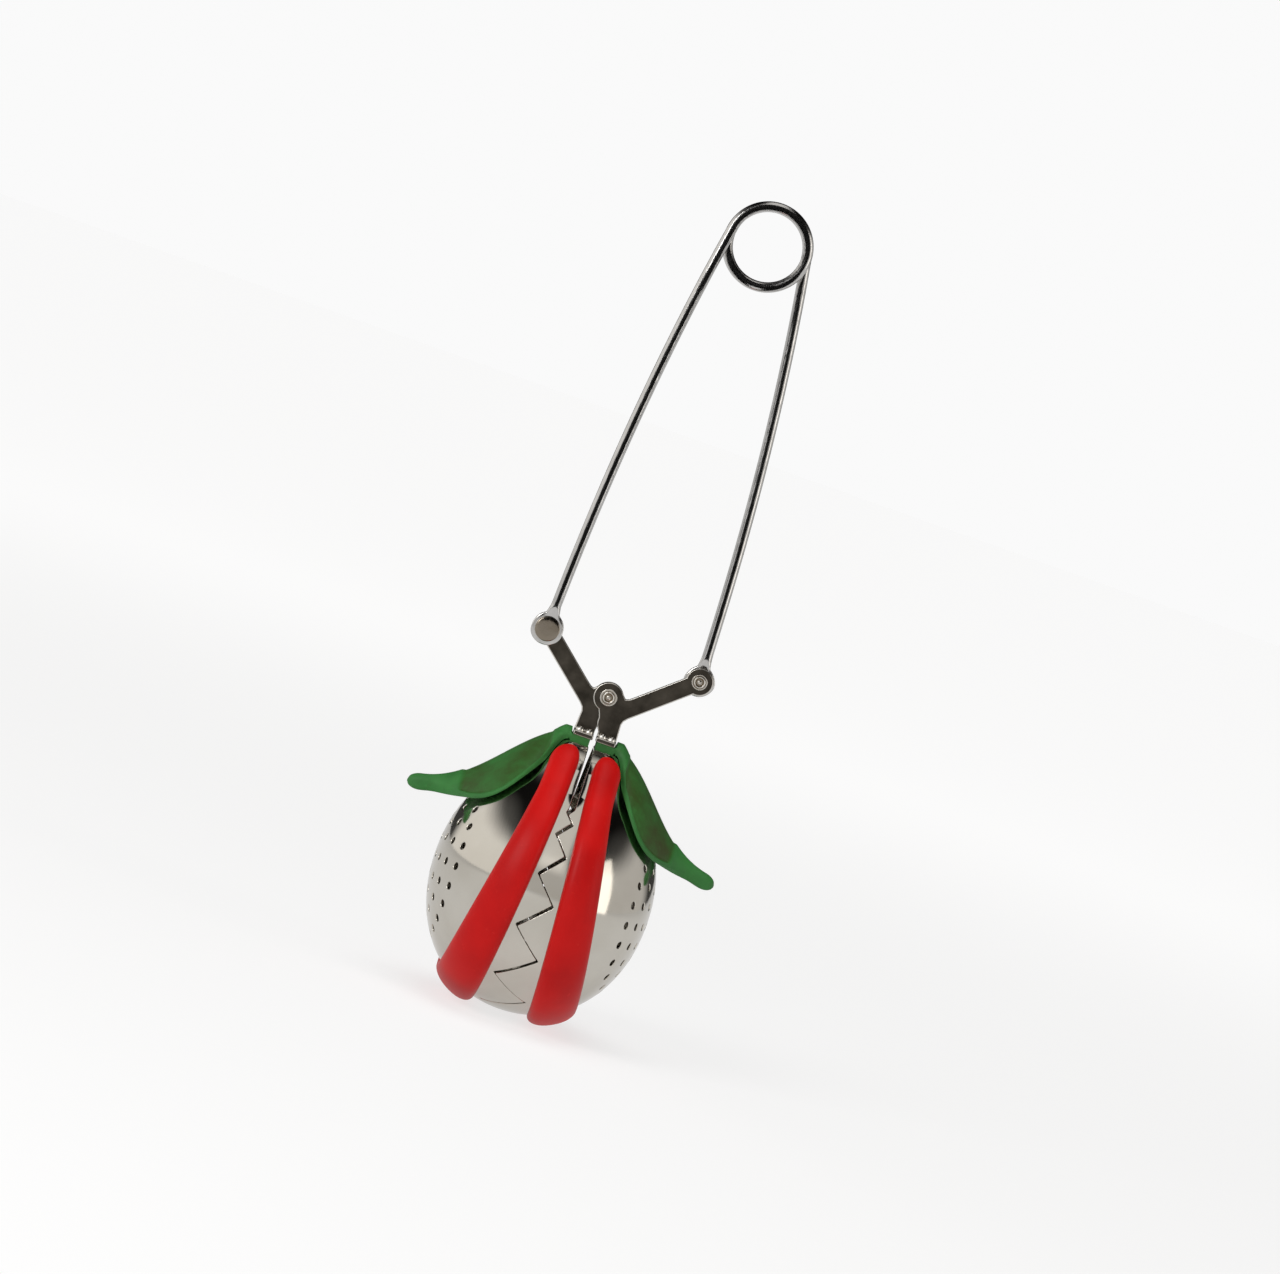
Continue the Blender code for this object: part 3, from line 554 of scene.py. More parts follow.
def draw_arm(side):
    """Plate and bent foot of one arm, with the bend's two edges already rounded."""
    back = -LAYER_GAP / 2.0 if side == RIGHT else LAYER_GAP / 2.0 + PLATE
    front = back - PLATE
    foot_z = CENTRE_PIVOT.z - FOOT_DEPTH
    bm = bmesh.new()

    def corner(x, z):
        return bm.verts.new((side * x, back, CENTRE_PIVOT.z + z))

    outline = [corner(x, z) for x, z in arm_outline(side)]
    bm.faces.new(outline)
    low = -FOOT_DEPTH - FOOT_THICKNESS
    foot_top = [v for v in outline if abs(v.co.z - foot_z) < 0.01 * MM]
    foot_top.sort(key=lambda v: abs(v.co.x))
    bm.faces.new((foot_top[0], corner(FOOT_INNER_X, low), corner(FOOT_OUTER_X, low), foot_top[1]))
    bmesh.ops.recalc_face_normals(bm, faces=bm.faces)
    extrude_along_y(bm, list(bm.faces), -PLATE)
    middle = Vector(((FOOT_INNER_X + FOOT_OUTER_X) / 2.0 * side, front,
                     foot_z - FOOT_THICKNESS / 2.0))
    foot = [f for f in bm.faces if (f.calc_center_median() - middle).length < 0.3 * MM]
    extrude_along_y(bm, foot, FOOT_FRONT_Y - front)
    bmesh.ops.delete(bm, geom=foot, context="FACES_ONLY")
    bmesh.ops.recalc_face_normals(bm, faces=bm.faces)
    bmesh.ops.dissolve_limit(bm, angle_limit=0.01, verts=bm.verts, edges=bm.edges)
    for y, z, radius in ((back, foot_z - FOOT_THICKNESS, FOOT_BEND_RADIUS),
                         (front, foot_z, FOOT_CREASE_RADIUS)):
        bmesh.ops.bevel(bm, geom=edges_along_x(bm, y, z), offset=radius, segments=6,
                        profile=0.5, affect="EDGES")
    return bm


def add_cylinder(bm, start, end, radius, sides=48):
    axis = end - start
    turn = axis.to_track_quat("Z", "Y").to_matrix().to_4x4()
    bmesh.ops.create_cone(bm, cap_ends=True, segments=sides, radius1=radius, radius2=radius,
                          depth=axis.length, matrix=Matrix.Translation((start + end) / 2.0) @ turn)


def apply_modifiers(piece):
    graph = bpy.context.evaluated_depsgraph_get()
    mesh = bpy.data.meshes.new_from_object(piece.evaluated_get(graph), depsgraph=graph)
    piece.modifiers.clear()
    piece.data = mesh


def bevel_and_cut(name, bm, holes, bevel):
    """Round every hard edge of a body a little, then cut the holes out of it."""
    body_mesh = bpy.data.meshes.new(name)
    bm.to_mesh(body_mesh)
    bm.free()
    cutter_mesh = bpy.data.meshes.new(name + "_holes")
    bmesh.ops.recalc_face_normals(holes, faces=holes.faces)
    holes.to_mesh(cutter_mesh)
    holes.free()
    work = link(name + "_work", body_mesh)
    cutter = link(name + "_cutter", cutter_mesh)
    soften = work.modifiers.new("soften", "BEVEL")
    soften.width = bevel
    soften.segments = 4
    soften.limit_method = "ANGLE"
    soften.angle_limit = radians(50.0)
    soften.use_clamp_overlap = False
    boolean = work.modifiers.new("holes", "BOOLEAN")
    boolean.object = cutter
    apply_modifiers(work)
    work.data.shade_smooth()
    work.data.set_sharp_from_angle(angle=radians(32.0))
    even = work.modifiers.new("even", "WEIGHTED_NORMAL")
    even.keep_sharp = True
    apply_modifiers(work)
    mesh = work.data
    for obj in (work, cutter):
        bpy.data.objects.remove(obj)
    return mesh


def make_arm(side, material):
    name = f"{SIDE_NAME[side]}_arm_plate"
    reach = Vector((0.0, 4.0 * PLATE, 0.0))
    holes = bmesh.new()
    add_cylinder(holes, LEG_PIVOT[side] - reach, LEG_PIVOT[side] + reach, LEG_BORE)
    add_cylinder(holes, CENTRE_PIVOT - reach, CENTRE_PIVOT + reach, CENTRE_BORE[side])
    for centre in FOOT_RIVETS.values():
        place = Vector((side * centre.x, centre.y, CENTRE_PIVOT.z - FOOT_DEPTH))
        rise = Vector((0.0, 0.0, 3.0 * FOOT_THICKNESS))
        add_cylinder(holes, place - rise, place + rise, FOOT_BORE, 24)
    mesh = bevel_and_cut(name, draw_arm(side), holes, PLATE_EDGE)
    mesh.name = name
    foot_top = CENTRE_PIVOT.z - FOOT_DEPTH + PLATE_EDGE
    # Bevel vertices that face partly to the front get the bright edge colour: part wear, part
    # painted highlight.
    worn_and_lit = []
    for vertex in mesh.vertices:
        from_bore = min((vertex.co - pivot).xz.length for pivot in (CENTRE_PIVOT, LEG_PIVOT[side]))
        lean = abs(vertex.normal.y)
        if vertex.co.z > foot_top:
            worn_and_lit.append(float(lean < WORN_AND_LIT_LEAN[1] and from_bore > PIVOT_HEAD))
        else:
            worn_and_lit.append(float(WORN_AND_LIT_LEAN[0] <= lean < WORN_AND_LIT_LEAN[1]))
    set_mask(mesh, "edge", worn_and_lit)
    finish_jaw_piece(side, "arm_plate", mesh, material, "arm")


HEAD_RIM = 0.16 * MM              # rounding of a tubular rivet's rim
ROLL_RADIUS = 0.17 * MM           # section of the ring rolled out of its tube
ROLL_PLACE = 1.03 * MM
DOT_RADIUS = 0.48 * MM            # the bead in the tube's middle
DOT_RISE = 0.26 * MM
AXIS_RADIUS = 0.02 * MM           # a turned outline stops this close to its axis
DISH = ((1.36, 0.27, 0.6), (1.25, 0.26, 1.0))        # millimetres, millimetres, share of painted shade
WELL = ((0.80, 0.14, 1.0), (0.62, 0.10, 1.0))
DOME_RISE = 0.5 * MM
DOME_EDGE = 0.05 * MM


def rolled_head(head, face):
    """Half outline of a tubular rivet's head, rim to axis, and how much painted shade each point
    gets.
    """
    points = [(head, face, 0.0)]
    for a in angles(pi / 2.0, 6):
        points.append((head - HEAD_RIM + HEAD_RIM * cos(a),
                       face + 0.14 * MM + HEAD_RIM * sin(a), 0.2))
    points += [(r * MM, face + h * MM, sunk) for r, h, sunk in DISH]
    for a in angles(pi, 10):
        points.append((ROLL_PLACE + ROLL_RADIUS * cos(a),
                       face + 0.42 * MM + ROLL_RADIUS * sin(a), 0.0))
    points += [(r * MM, face + h * MM, sunk) for r, h, sunk in WELL]
    for a in angles(pi / 2.0, 8)[:-1]:
        points.append((DOT_RADIUS * cos(a), face + 0.12 * MM + DOT_RISE * sin(a), 0.25))
    return points + [(AXIS_RADIUS, face + 0.38 * MM, 0.25)]


def domed_head(head, seat, top):
    """Half outline of a rivet's solid flat-domed head, rim to axis; most of the dome takes a darker
    brownish tone from the same mask.
    """
    points = [(head - DOME_EDGE, seat, 0.0)]
    for k in range(15):
        a = pi / 2.0 * k / 14
        points.append((DOME_EDGE + (head - DOME_EDGE) * cos(a) ** 0.4,
                       seat + (top - seat) * sin(a) ** 0.8, 0.8 * (k > 3)))
    return points


def make_pivot_rivet(name, node, centre, head, body, material, front_dome=None):
    """A rivet along Y; seen from the front it shows a rolled ring, or a plain domed head."""
    face = LAYER_GAP / 2.0 + PLATE + SEAT
    rolled = [(PIVOT_SHANK, face, 0.0)] + rolled_head(head, face)
    front = rolled
    if front_dome:
        front = [(PIVOT_SHANK, face, 0.0)] + domed_head(front_dome, face, face + DOME_RISE)
    outline = front[::-1] + [(r, -h, sunk) for r, h, sunk in rolled]
    place = Matrix.Translation(centre) @ Matrix.Rotation(pi / 2.0, 4, "X")
    rings = turned_rings(outline, place, 64)
    # The sunk mask carries painted shade in the rolled head's hollows, and the plain dome's darker
    # tone.
    mask = [sunk for _, _, sunk in outline for _ in rings[0]]
    mesh = loft_mesh(name, rings, mask, "sunk")
    mesh.set_sharp_from_angle(angle=radians(55.0))
    finish_piece(name, mesh, material, body, [node])


def make_foot_rivet(side, place_name, material):
    """A small rivet with a round bead of a head on the foot and a flat tail in the shell."""
    part = f"foot_rivet_{place_name}"
    node = f"{SIDE_NAME[side]}_{part}"
    low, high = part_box(node)
    seat = CENTRE_PIVOT.z - FOOT_DEPTH + TOUCH
    head = (high.x - low.x) / 2.0
    outline = [(AXIS_RADIUS, high.z)]
    for a in angles(pi / 2.0, 12)[1:]:
        outline.append((head * sin(a) ** 0.9, seat + (high.z - seat) * max(0.0, cos(a))))
    tail = BALL_CENTRE.z + LAND_HEIGHT - SHEET - TOUCH
    outline += [(FOOT_SHANK, seat - 0.01 * MM), (FOOT_SHANK, tail), (0.9 * head, tail),
                (head, tail - 0.12 * MM), (0.9 * head, low.z + 0.06 * MM), (AXIS_RADIUS, low.z)]
    centre = Vector(((low.x + high.x) / 2.0, (low.y + high.y) / 2.0, 0.0))
    mesh = loft_mesh(f"{node}_bead", turned_rings(outline, Matrix.Translation(centre), 40))
    mesh.set_sharp_from_angle(angle=radians(50.0))
    finish_jaw_piece(side, part + "_bead", mesh, material, part)


# ---------------- ball surface

def ball_radius(x, phi):
    """Distance of the shell's skin from the ball's X axis, at x and at phi from the top."""
    share = max(0.0, 1.0 - (abs(x) / BALL_HALF_WIDTH) ** BALL_POWER)
    radius = BALL_RADIUS * share ** (1.0 / BALL_POWER)
    away = abs((phi + pi) % (tau) - pi)
    if away < NECK_ANGLE:
        rise = cos(away / NECK_ANGLE * pi / 2.0) ** 2
        fade = 1.0 - smoothstep((abs(x) - NECK_FLAT_X) / (NECK_END_X - NECK_FLAT_X))
        radius += NECK_RISE * rise * fade
        radius = min(radius, LAND_HEIGHT / cos(away))
    return radius


def ball_point(x, phi):
    radius = ball_radius(x, phi)
    return BALL_CENTRE + Vector((x, -radius * sin(phi), radius * cos(phi)))


def to_latitude(x):
    """Angle from the dome's pole at which the skin reaches the lateral place x."""
    share = min(1.0, abs(x) / BALL_HALF_WIDTH) ** (BALL_POWER / 2.0)
    return acos(copysign(share, x))


def from_latitude(theta):
    c = cos(theta)
    return copysign(BALL_HALF_WIDTH * abs(c) ** (2.0 / BALL_POWER), c)


def surface_normal(point_at, a, b, step_a, step_b):
    """Unit normal of a parametric surface, by central differences, away from the ball."""
    along_a = point_at(a + step_a, b) - point_at(a - step_a, b)
    along_b = point_at(a, b + step_b) - point_at(a, b - step_b)
    normal = along_a.cross(along_b)
    if normal.length < 1e-15:
        return (point_at(a, b) - BALL_CENTRE).normalized()
    normal.normalize()
    if normal.dot(point_at(a, b) - BALL_CENTRE) < 0.0:
        normal = -normal
    return normal


def ball_normal(x, phi):
    return surface_normal(ball_point, x, phi, 0.05 * MM, 0.002)


# ---------------- shells

MAP_SCALE = 25.0 * MM             # flat map of a dome: distance from the pole per radian
GRID_PITCH = 0.95 * MM
EDGE_ROUND = 0.16 * MM
SLOT_HALF_GAP = 0.55 * MM
SLOT_END = radians(44.5)
SLOT_FLARE = 0.14 * MM
SLOT_FLARE_WIDTH = 0.7 * MM
FLARE_RISE = (14.0, 9.0)          # degrees from the top: where the flare starts, and over how far
FLARE_FALL = (38.0, 8.0)
RIM_PROFILE = ((0.3, 0.08), (0.0, 0.27), (0.0, 0.73), (0.3, 0.92))   # shares of rounding, depth
ROW_PITCH = 0.866                 # rows of a triangular grid
TOOTH_GAP = 0.46 * MM
TOOTH_SHIFT = 0.38 * MM           # the right teeth sit this far on, less towards the bottom
TOOTH_SHIFT_LOSS = 0.014 * MM
TOOTH_START = radians(47.0)
TOOTH_COUNT = 11
TOOTH_FIRST = 2.2 * MM
TOOTH_LAST = 8.5 * MM
TOOTH_GROWTH = 6.0
TOOTH_REACH = 0.6 * MM
TOOTH_REACH_GROWTH = 0.4 * MM
TOOTH_CORNER = 0.35 * MM
HOLE_RADIUS = 0.8 * MM
HOLE_PITCH = 4.4 * MM
HOLE_RINGS = 4
HOLE_SIDES = 24


def tooth_line():
    """Corners of the zigzag as (phi, x), from the end of the slot to the ball's lowest point."""
    pitches = [TOOTH_LAST - (TOOTH_LAST - TOOTH_FIRST) * exp(-k / TOOTH_GROWTH)
               for k in range(TOOTH_COUNT)]
    scale = (pi - TOOTH_START) * BALL_RADIUS / sum(pitches)
    corners = []
    phi = TOOTH_START
    for k in range(TOOTH_COUNT + 1):
        corners.append((phi, (-1) ** (k + 1) * (TOOTH_REACH + k * TOOTH_REACH_GROWTH)))
        phi += pitches[min(k, TOOTH_COUNT - 1)] * scale / BALL_RADIUS
    return corners


def rim_corners(side):
    """(phi, lateral x of the rim) right round one shell; lateral grows into its own dome."""
    front = [(0.0, SLOT_HALF_GAP)] + [(SLOT_END * k / 4, SLOT_HALF_GAP) for k in range(1, 5)]
    for k, (phi, x) in enumerate(tooth_line()):
        shift = (TOOTH_SHIFT - k * TOOTH_SHIFT_LOSS) / BALL_RADIUS if side == RIGHT else 0.0
        front.append((phi + shift, TOOTH_GAP / 2.0 + side * x))
    last_phi, last_x = front[-1]
    before_phi, before_x = front[-2]
    share = (pi - before_phi) / (last_phi - before_phi)
    front[-1] = (pi, mix(before_x, last_x, share))
    return front + [(tau - phi, x) for phi, x in reversed(front[1:-1])]


def to_map(x, phi):
    radius = MAP_SCALE * to_latitude(x)
    return Vector((radius * cos(phi), radius * sin(phi)))


def from_map(point):
    return from_latitude(point.length / MAP_SCALE), atan2(point.y, point.x)


def rim_loop(side):
    """The rim on the flat map: straight flanks between rounded corners, finely divided."""
    corners = rim_corners(side)
    dense = []
    for i, (phi, x) in enumerate(corners):
        after_phi, after_x = corners[(i + 1) % len(corners)]
        if after_phi < phi:
            after_phi += tau
        count = max(1, ceil((after_phi - phi) / radians(3.0)))
        for k in range(count):
            share = k / count
            dense.append(to_map(mix(x, after_x, share), mix(phi, after_phi, share)))
    return resampled(rounded(dense, TOOTH_CORNER, 4), 0.7 * MM)


def hole_loop(tilt, turn, radius):
    """A round hole on the flat map, from its centre's direction as seen from the ball's centre."""
    ray = Vector((cos(tilt), -sin(tilt) * sin(turn), sin(tilt) * cos(turn)))
    side_ray = ray.orthogonal().normalized()
    other = ray.cross(side_ray)
    loop = []
    for i in range(HOLE_SIDES):
        a = tau * i / HOLE_SIDES
        aim = ray + (side_ray * cos(a) + other * sin(a)) * (radius / BALL_RADIUS)
        out = hypot(aim.y, aim.z)
        size = ((aim.x / BALL_HALF_WIDTH) ** BALL_POWER
                + (out / BALL_RADIUS) ** BALL_POWER) ** (-1.0 / BALL_POWER)
        loop.append(to_map(aim.x * size, atan2(-aim.y, aim.z)))
    return loop


def hole_places():
    places = []
    step = HOLE_PITCH / ((BALL_RADIUS + BALL_HALF_WIDTH) / 2.0)
    for ring in range(HOLE_RINGS + 1):
        count = max(1, 6 * ring)
        for i in range(count):
            places.append((ring * step, tau * i / count + pi / 2.0))
    return places


def offset_loop(loop, distance):
    """The loop moved to its own left by the distance, in its plane."""
    moved = []
    for i, point in enumerate(loop):
        ahead = (loop[(i + 1) % len(loop)] - loop[i - 1]).normalized()
        moved.append(point + Vector((-ahead.y, ahead.x)) * distance)
    return moved


def inside(points, loop):
    """For an array of points, whether each lies inside the closed loop."""
    ring = np.array([tuple(p) for p in loop])
    nxt = np.roll(ring, -1, axis=0)
    x, y = points[:, 0][:, None], points[:, 1][:, None]
    crosses = (ring[:, 1] > y) != (nxt[:, 1] > y)
    rise = np.where(nxt[:, 1] == ring[:, 1], 1e-12, nxt[:, 1] - ring[:, 1])
    at = ring[:, 0] + (y - ring[:, 1]) * (nxt[:, 0] - ring[:, 0]) / rise
    return (np.sum(crosses & (x < at), axis=1) % 2) == 1


def grid_points(rim, loops):
    """A triangular grid inside the rim that keeps clear of every boundary loop."""
    reach = max(p.length for p in rim)
    rows = int(reach / (GRID_PITCH * ROW_PITCH)) + 1
    columns = int(reach / GRID_PITCH) + 1
    grid = np.array([((i + 0.5 * (j % 2)) * GRID_PITCH, j * GRID_PITCH * ROW_PITCH)
                     for j in range(-rows, rows + 1) for i in range(-columns, columns + 1)])
    grid = grid[inside(grid, rim)]
    borders = np.array([tuple(p) for loop in loops for p in loop])
    keep = np.ones(len(grid), bool)
    for start in range(0, len(grid), 500):
        part = grid[start:start + 500]
        gap = np.sqrt(((part[:, None, :] - borders[None]) ** 2).sum(axis=2)).min(axis=1)
        keep[start:start + 500] = gap > 0.55 * GRID_PITCH
    grid = grid[keep]
    for loop in loops[1:]:
        grid = grid[~inside(grid, loop)]
    return [Vector(p) for p in grid]


def slot_flare(x, phi):
    """How far the skin turns outward next to the straight slot."""
    away = abs((phi + pi) % (tau) - pi)
    beside = 1.0 - smoothstep((x - SLOT_HALF_GAP) / SLOT_FLARE_WIDTH)
    rise, fall = (smoothstep((away - radians(start)) / radians(span))
                  for start, span in (FLARE_RISE, FLARE_FALL))
    window = rise * (1.0 - fall)
    return SLOT_FLARE * beside ** 1.5 * window


def make_shell(side, material):
    """A dome of sheet: outer and inner skin on one flat triangulation, joined by rounded edges."""
    def point_at(x, phi):
        point = ball_point(x, phi)
        flare = slot_flare(x, phi)
        if flare > 0.0:
            point = point + (point - BALL_CENTRE).normalized() * flare
        return on_side(side, point)

    def skin_point(flat, depth):
        x, phi = from_map(flat)
        normal = surface_normal(point_at, x, phi, 0.04 * MM, 0.0016)
        return point_at(x, phi) - normal * depth, normal

    rim = rim_loop(side)
    base_loops = [offset_loop(rim, EDGE_ROUND)]
    for tilt, turn in hole_places():
        base_loops.append(hole_loop(tilt, turn, HOLE_RADIUS + EDGE_ROUND))
    flat_points = [p for loop in base_loops for p in loop] + grid_points(base_loops[0], base_loops)
    edges = []
    start = 0
    for loop in base_loops:
        edges += [(start + i, start + (i + 1) % len(loop)) for i in range(len(loop))]
        start += len(loop)
    found = delaunay_2d_cdt(flat_points, edges, [], 1, 1e-9)
    flat_points = list(found[0])
    triangles = found[2]
    centres = np.array([tuple((flat_points[a] + flat_points[b] + flat_points[c]) / 3.0)
                        for a, b, c in triangles])
    keep = inside(centres, base_loops[0])
    for loop in base_loops[1:]:
        keep &= ~inside(centres, loop)
    triangles = [t for t, kept in zip(triangles, keep) if kept]

    source = {}
    for new, old in enumerate(found[3]):
        for index in old:
            source[index] = new
    points = []
    normals = []
    for depth, sign in ((0.0, 1.0), (SHEET, -1.0)):
        for flat in flat_points:
            point, normal = skin_point(flat, depth)
            points.append(point)
            normals.append(normal * sign)
    inner = len(flat_points)
    faces = [tuple(t) for t in triangles] + [(inner + c, inner + b, inner + a)
                                             for a, b, c in triangles]
    start = 0
    for number, loop in enumerate(base_loops):
        count = len(loop)
        levels = [[source[start + i] for i in range(count)]]
        for share, depth in RIM_PROFILE:
            if number == 0:
                flat_loop = offset_loop(rim, EDGE_ROUND * share)
            else:
                flat_loop = hole_loop(*hole_places()[number - 1], HOLE_RADIUS + EDGE_ROUND * share)
            level = []
            for flat in flat_loop:
                point, normal = skin_point(flat, SHEET * depth)
                level.append(len(points))
                points.append(point)
                normals.append(None)
            levels.append(level)
        levels.append([inner + source[start + i] for i in range(count)])
        for first, second in zip(levels, levels[1:]):
            for i in range(count):
                j = (i + 1) % count
                faces.append((first[i], first[j], second[j], second[i]))
        start += count

    mesh = bpy.data.meshes.new(f"{SIDE_NAME[side]}_dome")
    mesh.from_pydata([tuple(p) for p in points], [], faces)
    face_outward(mesh)
    drawn = [vertex.normal.copy() for vertex in mesh.vertices]
    mesh.normals_split_custom_set_from_vertices(
        [tuple(n) if n is not None else tuple(d) for n, d in zip(normals, drawn)])
    finish_jaw_piece(side, "dome", mesh, material, "shell")


# ---------------- silicone

LIP_START = radians(13.0)
LIP_HEIGHT = 2.2 * MM
LIP_INNER_TOP = 1.45 * MM
LIP_INNER_BOTTOM = 5.7 * MM
LIP_WIDTH_TOP = 5.0 * MM
LIP_WIDTH_BOTTOM = 8.5 * MM
LIP_COLUMNS = 320
LIP_POINTS = 22
LIP_TIP = 0.85                    # length of a rounded tip, in widths of the lip
LIP_CROWN = 2.5

LEAF_ROOT = (4.8 * MM, 7.9 * MM)
LEAF_HANDLES = ((15.6 * MM, 12.0 * MM), (19.5 * MM, 26.2 * MM))
LEAF_TIP = (32.5 * MM, 27.0 * MM)
LEAF_HALF_WIDTH = 13.5 * MM
LEAF_DROOP = 7.2 * MM
LEAF_THICKNESS = 1.7 * MM
LEAF_ROOT_THICKNESS = 2.5 * MM
LEAF_BAR_RADIUS = 1.65 * MM
LEAF_ROWS = 150
LEAF_POINTS = 41
LEAF_RECESS = 0.38 * MM
LEAF_BORDER = 0.8 * MM
PANEL_START = 0.10
PANEL_END = 0.70
TONGUE_HALF_WIDTH = 3.4 * MM
LEAF_CLEARANCE = 0.5 * MM
LEAF_BLADE_END = 0.90             # share of the length at which the blade narrows to its bar
LEAF_CROWN = 2.6
LEAF_TIP_ROUND = 0.07             # share of the length that the round tip takes


def lip_edges(phi):
    fall = (1.0 - cos(phi)) / 2.0
    inner = mix(LIP_INNER_TOP, LIP_INNER_BOTTOM, fall)
    return inner, inner + mix(LIP_WIDTH_TOP, LIP_WIDTH_BOTTOM, sin(fall * pi / 2.0))


def make_lip(side, material):
    """A soft band round the rim, crowned across and round like a fingertip at both ends."""
    span = 2.0 * (pi - LIP_START)
    rings = []
    for i in range(LIP_COLUMNS + 1):
        even = i / LIP_COLUMNS
        phi = LIP_START + span * (even - 0.07 * sin(4.0 * pi * even) / (4.0 * pi))
        inner, outer = lip_edges(phi)
        from_end = min(phi - LIP_START, tau - LIP_START - phi) * 1.15 * BALL_RADIUS
        share = min(1.0, from_end / (LIP_TIP * LIP_WIDTH_TOP))
        round_end = sqrt(max(0.0, 1.0 - (1.0 - share) ** 2.2))
        middle = (inner + outer) / 2.0
        half = (outer - inner) / 2.0 * max(0.03, round_end)
        height = LIP_HEIGHT * max(0.03, round_end ** 0.8)
        ring = []
        for k in range(LIP_POINTS):
            across = -cos(pi * k / (LIP_POINTS - 1))
            crown = (1.0 - abs(across) ** LIP_CROWN) ** (1.0 / LIP_CROWN)
            x = middle + half * across
            point = ball_point(x, phi) + ball_normal(x, phi) * (TOUCH + height * crown)
            ring.append(on_side(side, point))
        for k in range(1, 6):
            x = middle + half * (1.0 - k / 3.0)
            point = ball_point(x, phi) + ball_normal(x, phi) * TOUCH
            ring.append(on_side(side, point))
        rings.append(ring)
    mesh = loft_mesh(f"{SIDE_NAME[side]}_silicone_lip", rings)
    mesh.set_sharp_from_angle(angle=radians(60.0))
    finish_jaw_piece(side, "silicone_lip", mesh, material, "lip")


def leaf_line(t):
    points = (LEAF_ROOT, *LEAF_HANDLES, LEAF_TIP)
    weights = ((1 - t) ** 3, 3 * t * (1 - t) ** 2, 3 * t * t * (1 - t), t ** 3)
    return Vector((sum(w * p[0] for w, p in zip(weights, points)),
                   sum(w * p[1] for w, p in zip(weights, points))))


def leaf_section(t):
    """Half width, droop of the edge and thickness of the blade at t along the midrib."""
    share = min(1.0, t / LEAF_BLADE_END)
    blade = max(0.0, sin(pi * share ** 0.80)) ** 1.35
    root = mix(TONGUE_HALF_WIDTH, LEAF_BAR_RADIUS, smoothstep(t / 0.5))
    half_width = ((blade * LEAF_HALF_WIDTH) ** 3 + root ** 3) ** (1.0 / 3.0)
    droop = 0.3 * MM + LEAF_DROOP * blade ** 0.9
    thickness = mix(LEAF_ROOT_THICKNESS, LEAF_THICKNESS, smoothstep(t / 0.3))
    thickness = mix(thickness, 2.0 * LEAF_BAR_RADIUS, smoothstep((t - 0.6) / 0.25))
    return half_width, droop, thickness


def clear_of_ball(point, clearance):
    arm = point - BALL_CENTRE
    out = Vector((0.0, arm.y, arm.z))
    phi = atan2(-arm.y, arm.z)
    short = ball_radius(arm.x, phi) + clearance - out.length
    return out.normalized() * max(0.0, short)


def leaf_ring(side, t, scale):
    """One closed section across the midrib, and how far each point is inside the panel."""
    top = leaf_line(t)
    ahead = (leaf_line(min(1.0, t + 0.01)) - leaf_line(max(0.0, t - 0.01))).normalized()
    under = Vector((-ahead.y * smoothstep(t / 0.15), ahead.x)).normalized()
    half_width, droop, thickness = leaf_section(t)
    centre = top + under * thickness / 2.0
    panel_ends = smoothstep((t - PANEL_START) / 0.022) * smoothstep((PANEL_END - t) / 0.03)
    upper, lower, mask = [], [], []
    for k in range(LEAF_POINTS):
        across = -cos(pi * k / (LEAF_POINTS - 1))
        body = max(0.0, 1.0 - abs(across) ** LEAF_CROWN) ** (1.0 / LEAF_CROWN)
        half = scale * thickness / 2.0 * (0.10 + 0.90 * body)
        fall = droop * abs(across) ** 1.7
        y = scale * half_width * across
        from_edge = half_width * (1.0 - abs(across))
        panel = panel_ends * smoothstep((from_edge - 0.55 * LEAF_BORDER) / (0.45 * LEAF_BORDER))
        skins = []
        for offset in (-half + LEAF_RECESS * panel, half):
            drop = under * offset
            skins.append(Vector((side * (centre.x + drop.x), y,
                                 CENTRE_PIVOT.z - (centre.y + drop.y + fall))))
        push = clear_of_ball(skins[1], mix(0.1 * MM, LEAF_CLEARANCE, smoothstep(t / 0.3)))
        upper.append(skins[0] + push)
        lower.append(skins[1] + push)
        mask.append(panel)
    return upper + lower[::-1], mask + [0.0] * LEAF_POINTS


def tongue_ring(side, x):
    """Section of the tongue that lies between the arm's foot and the shell."""
    top = CENTRE_PIVOT.z - FOOT_DEPTH - FOOT_THICKNESS - TOUCH
    bottom = BALL_CENTRE.z + LAND_HEIGHT + TOUCH
    across = [-TONGUE_HALF_WIDTH * cos(a) for a in angles(pi, LEAF_POINTS - 1)]
    return ([Vector((side * x, y, top)) for y in across]
            + [Vector((side * x, y, bottom)) for y in across[::-1]])


def make_leaf(side, material):
    """A drooping blade with a sunk, mottled panel between its root and its round curled tip."""
    rings = []
    masks = []
    for x in (FOOT_INNER_X + 0.4 * MM, FOOT_OUTER_X - 0.4 * MM, FOOT_OUTER_X + 0.1 * MM):
        rings.append(tongue_ring(side, x))
        masks += [0.0] * (2 * LEAF_POINTS)
    for i in range(LEAF_ROWS + 1):
        t = i / LEAF_ROWS
        into_tip = max(0.0, (t - 0.93) / LEAF_TIP_ROUND)
        scale = sqrt(max(0.0, 1.0 - into_tip ** 2.4))
        ring, mask = leaf_ring(side, t, max(0.06, scale))
        rings.append(ring)
        masks += mask
    mesh = loft_mesh(f"{SIDE_NAME[side]}_silicone_leaf", rings, masks, "panel")
    mesh.set_sharp_from_angle(angle=radians(65.0))
    finish_jaw_piece(side, "silicone_leaf", mesh, material, "leaf")


# ---------------- stage

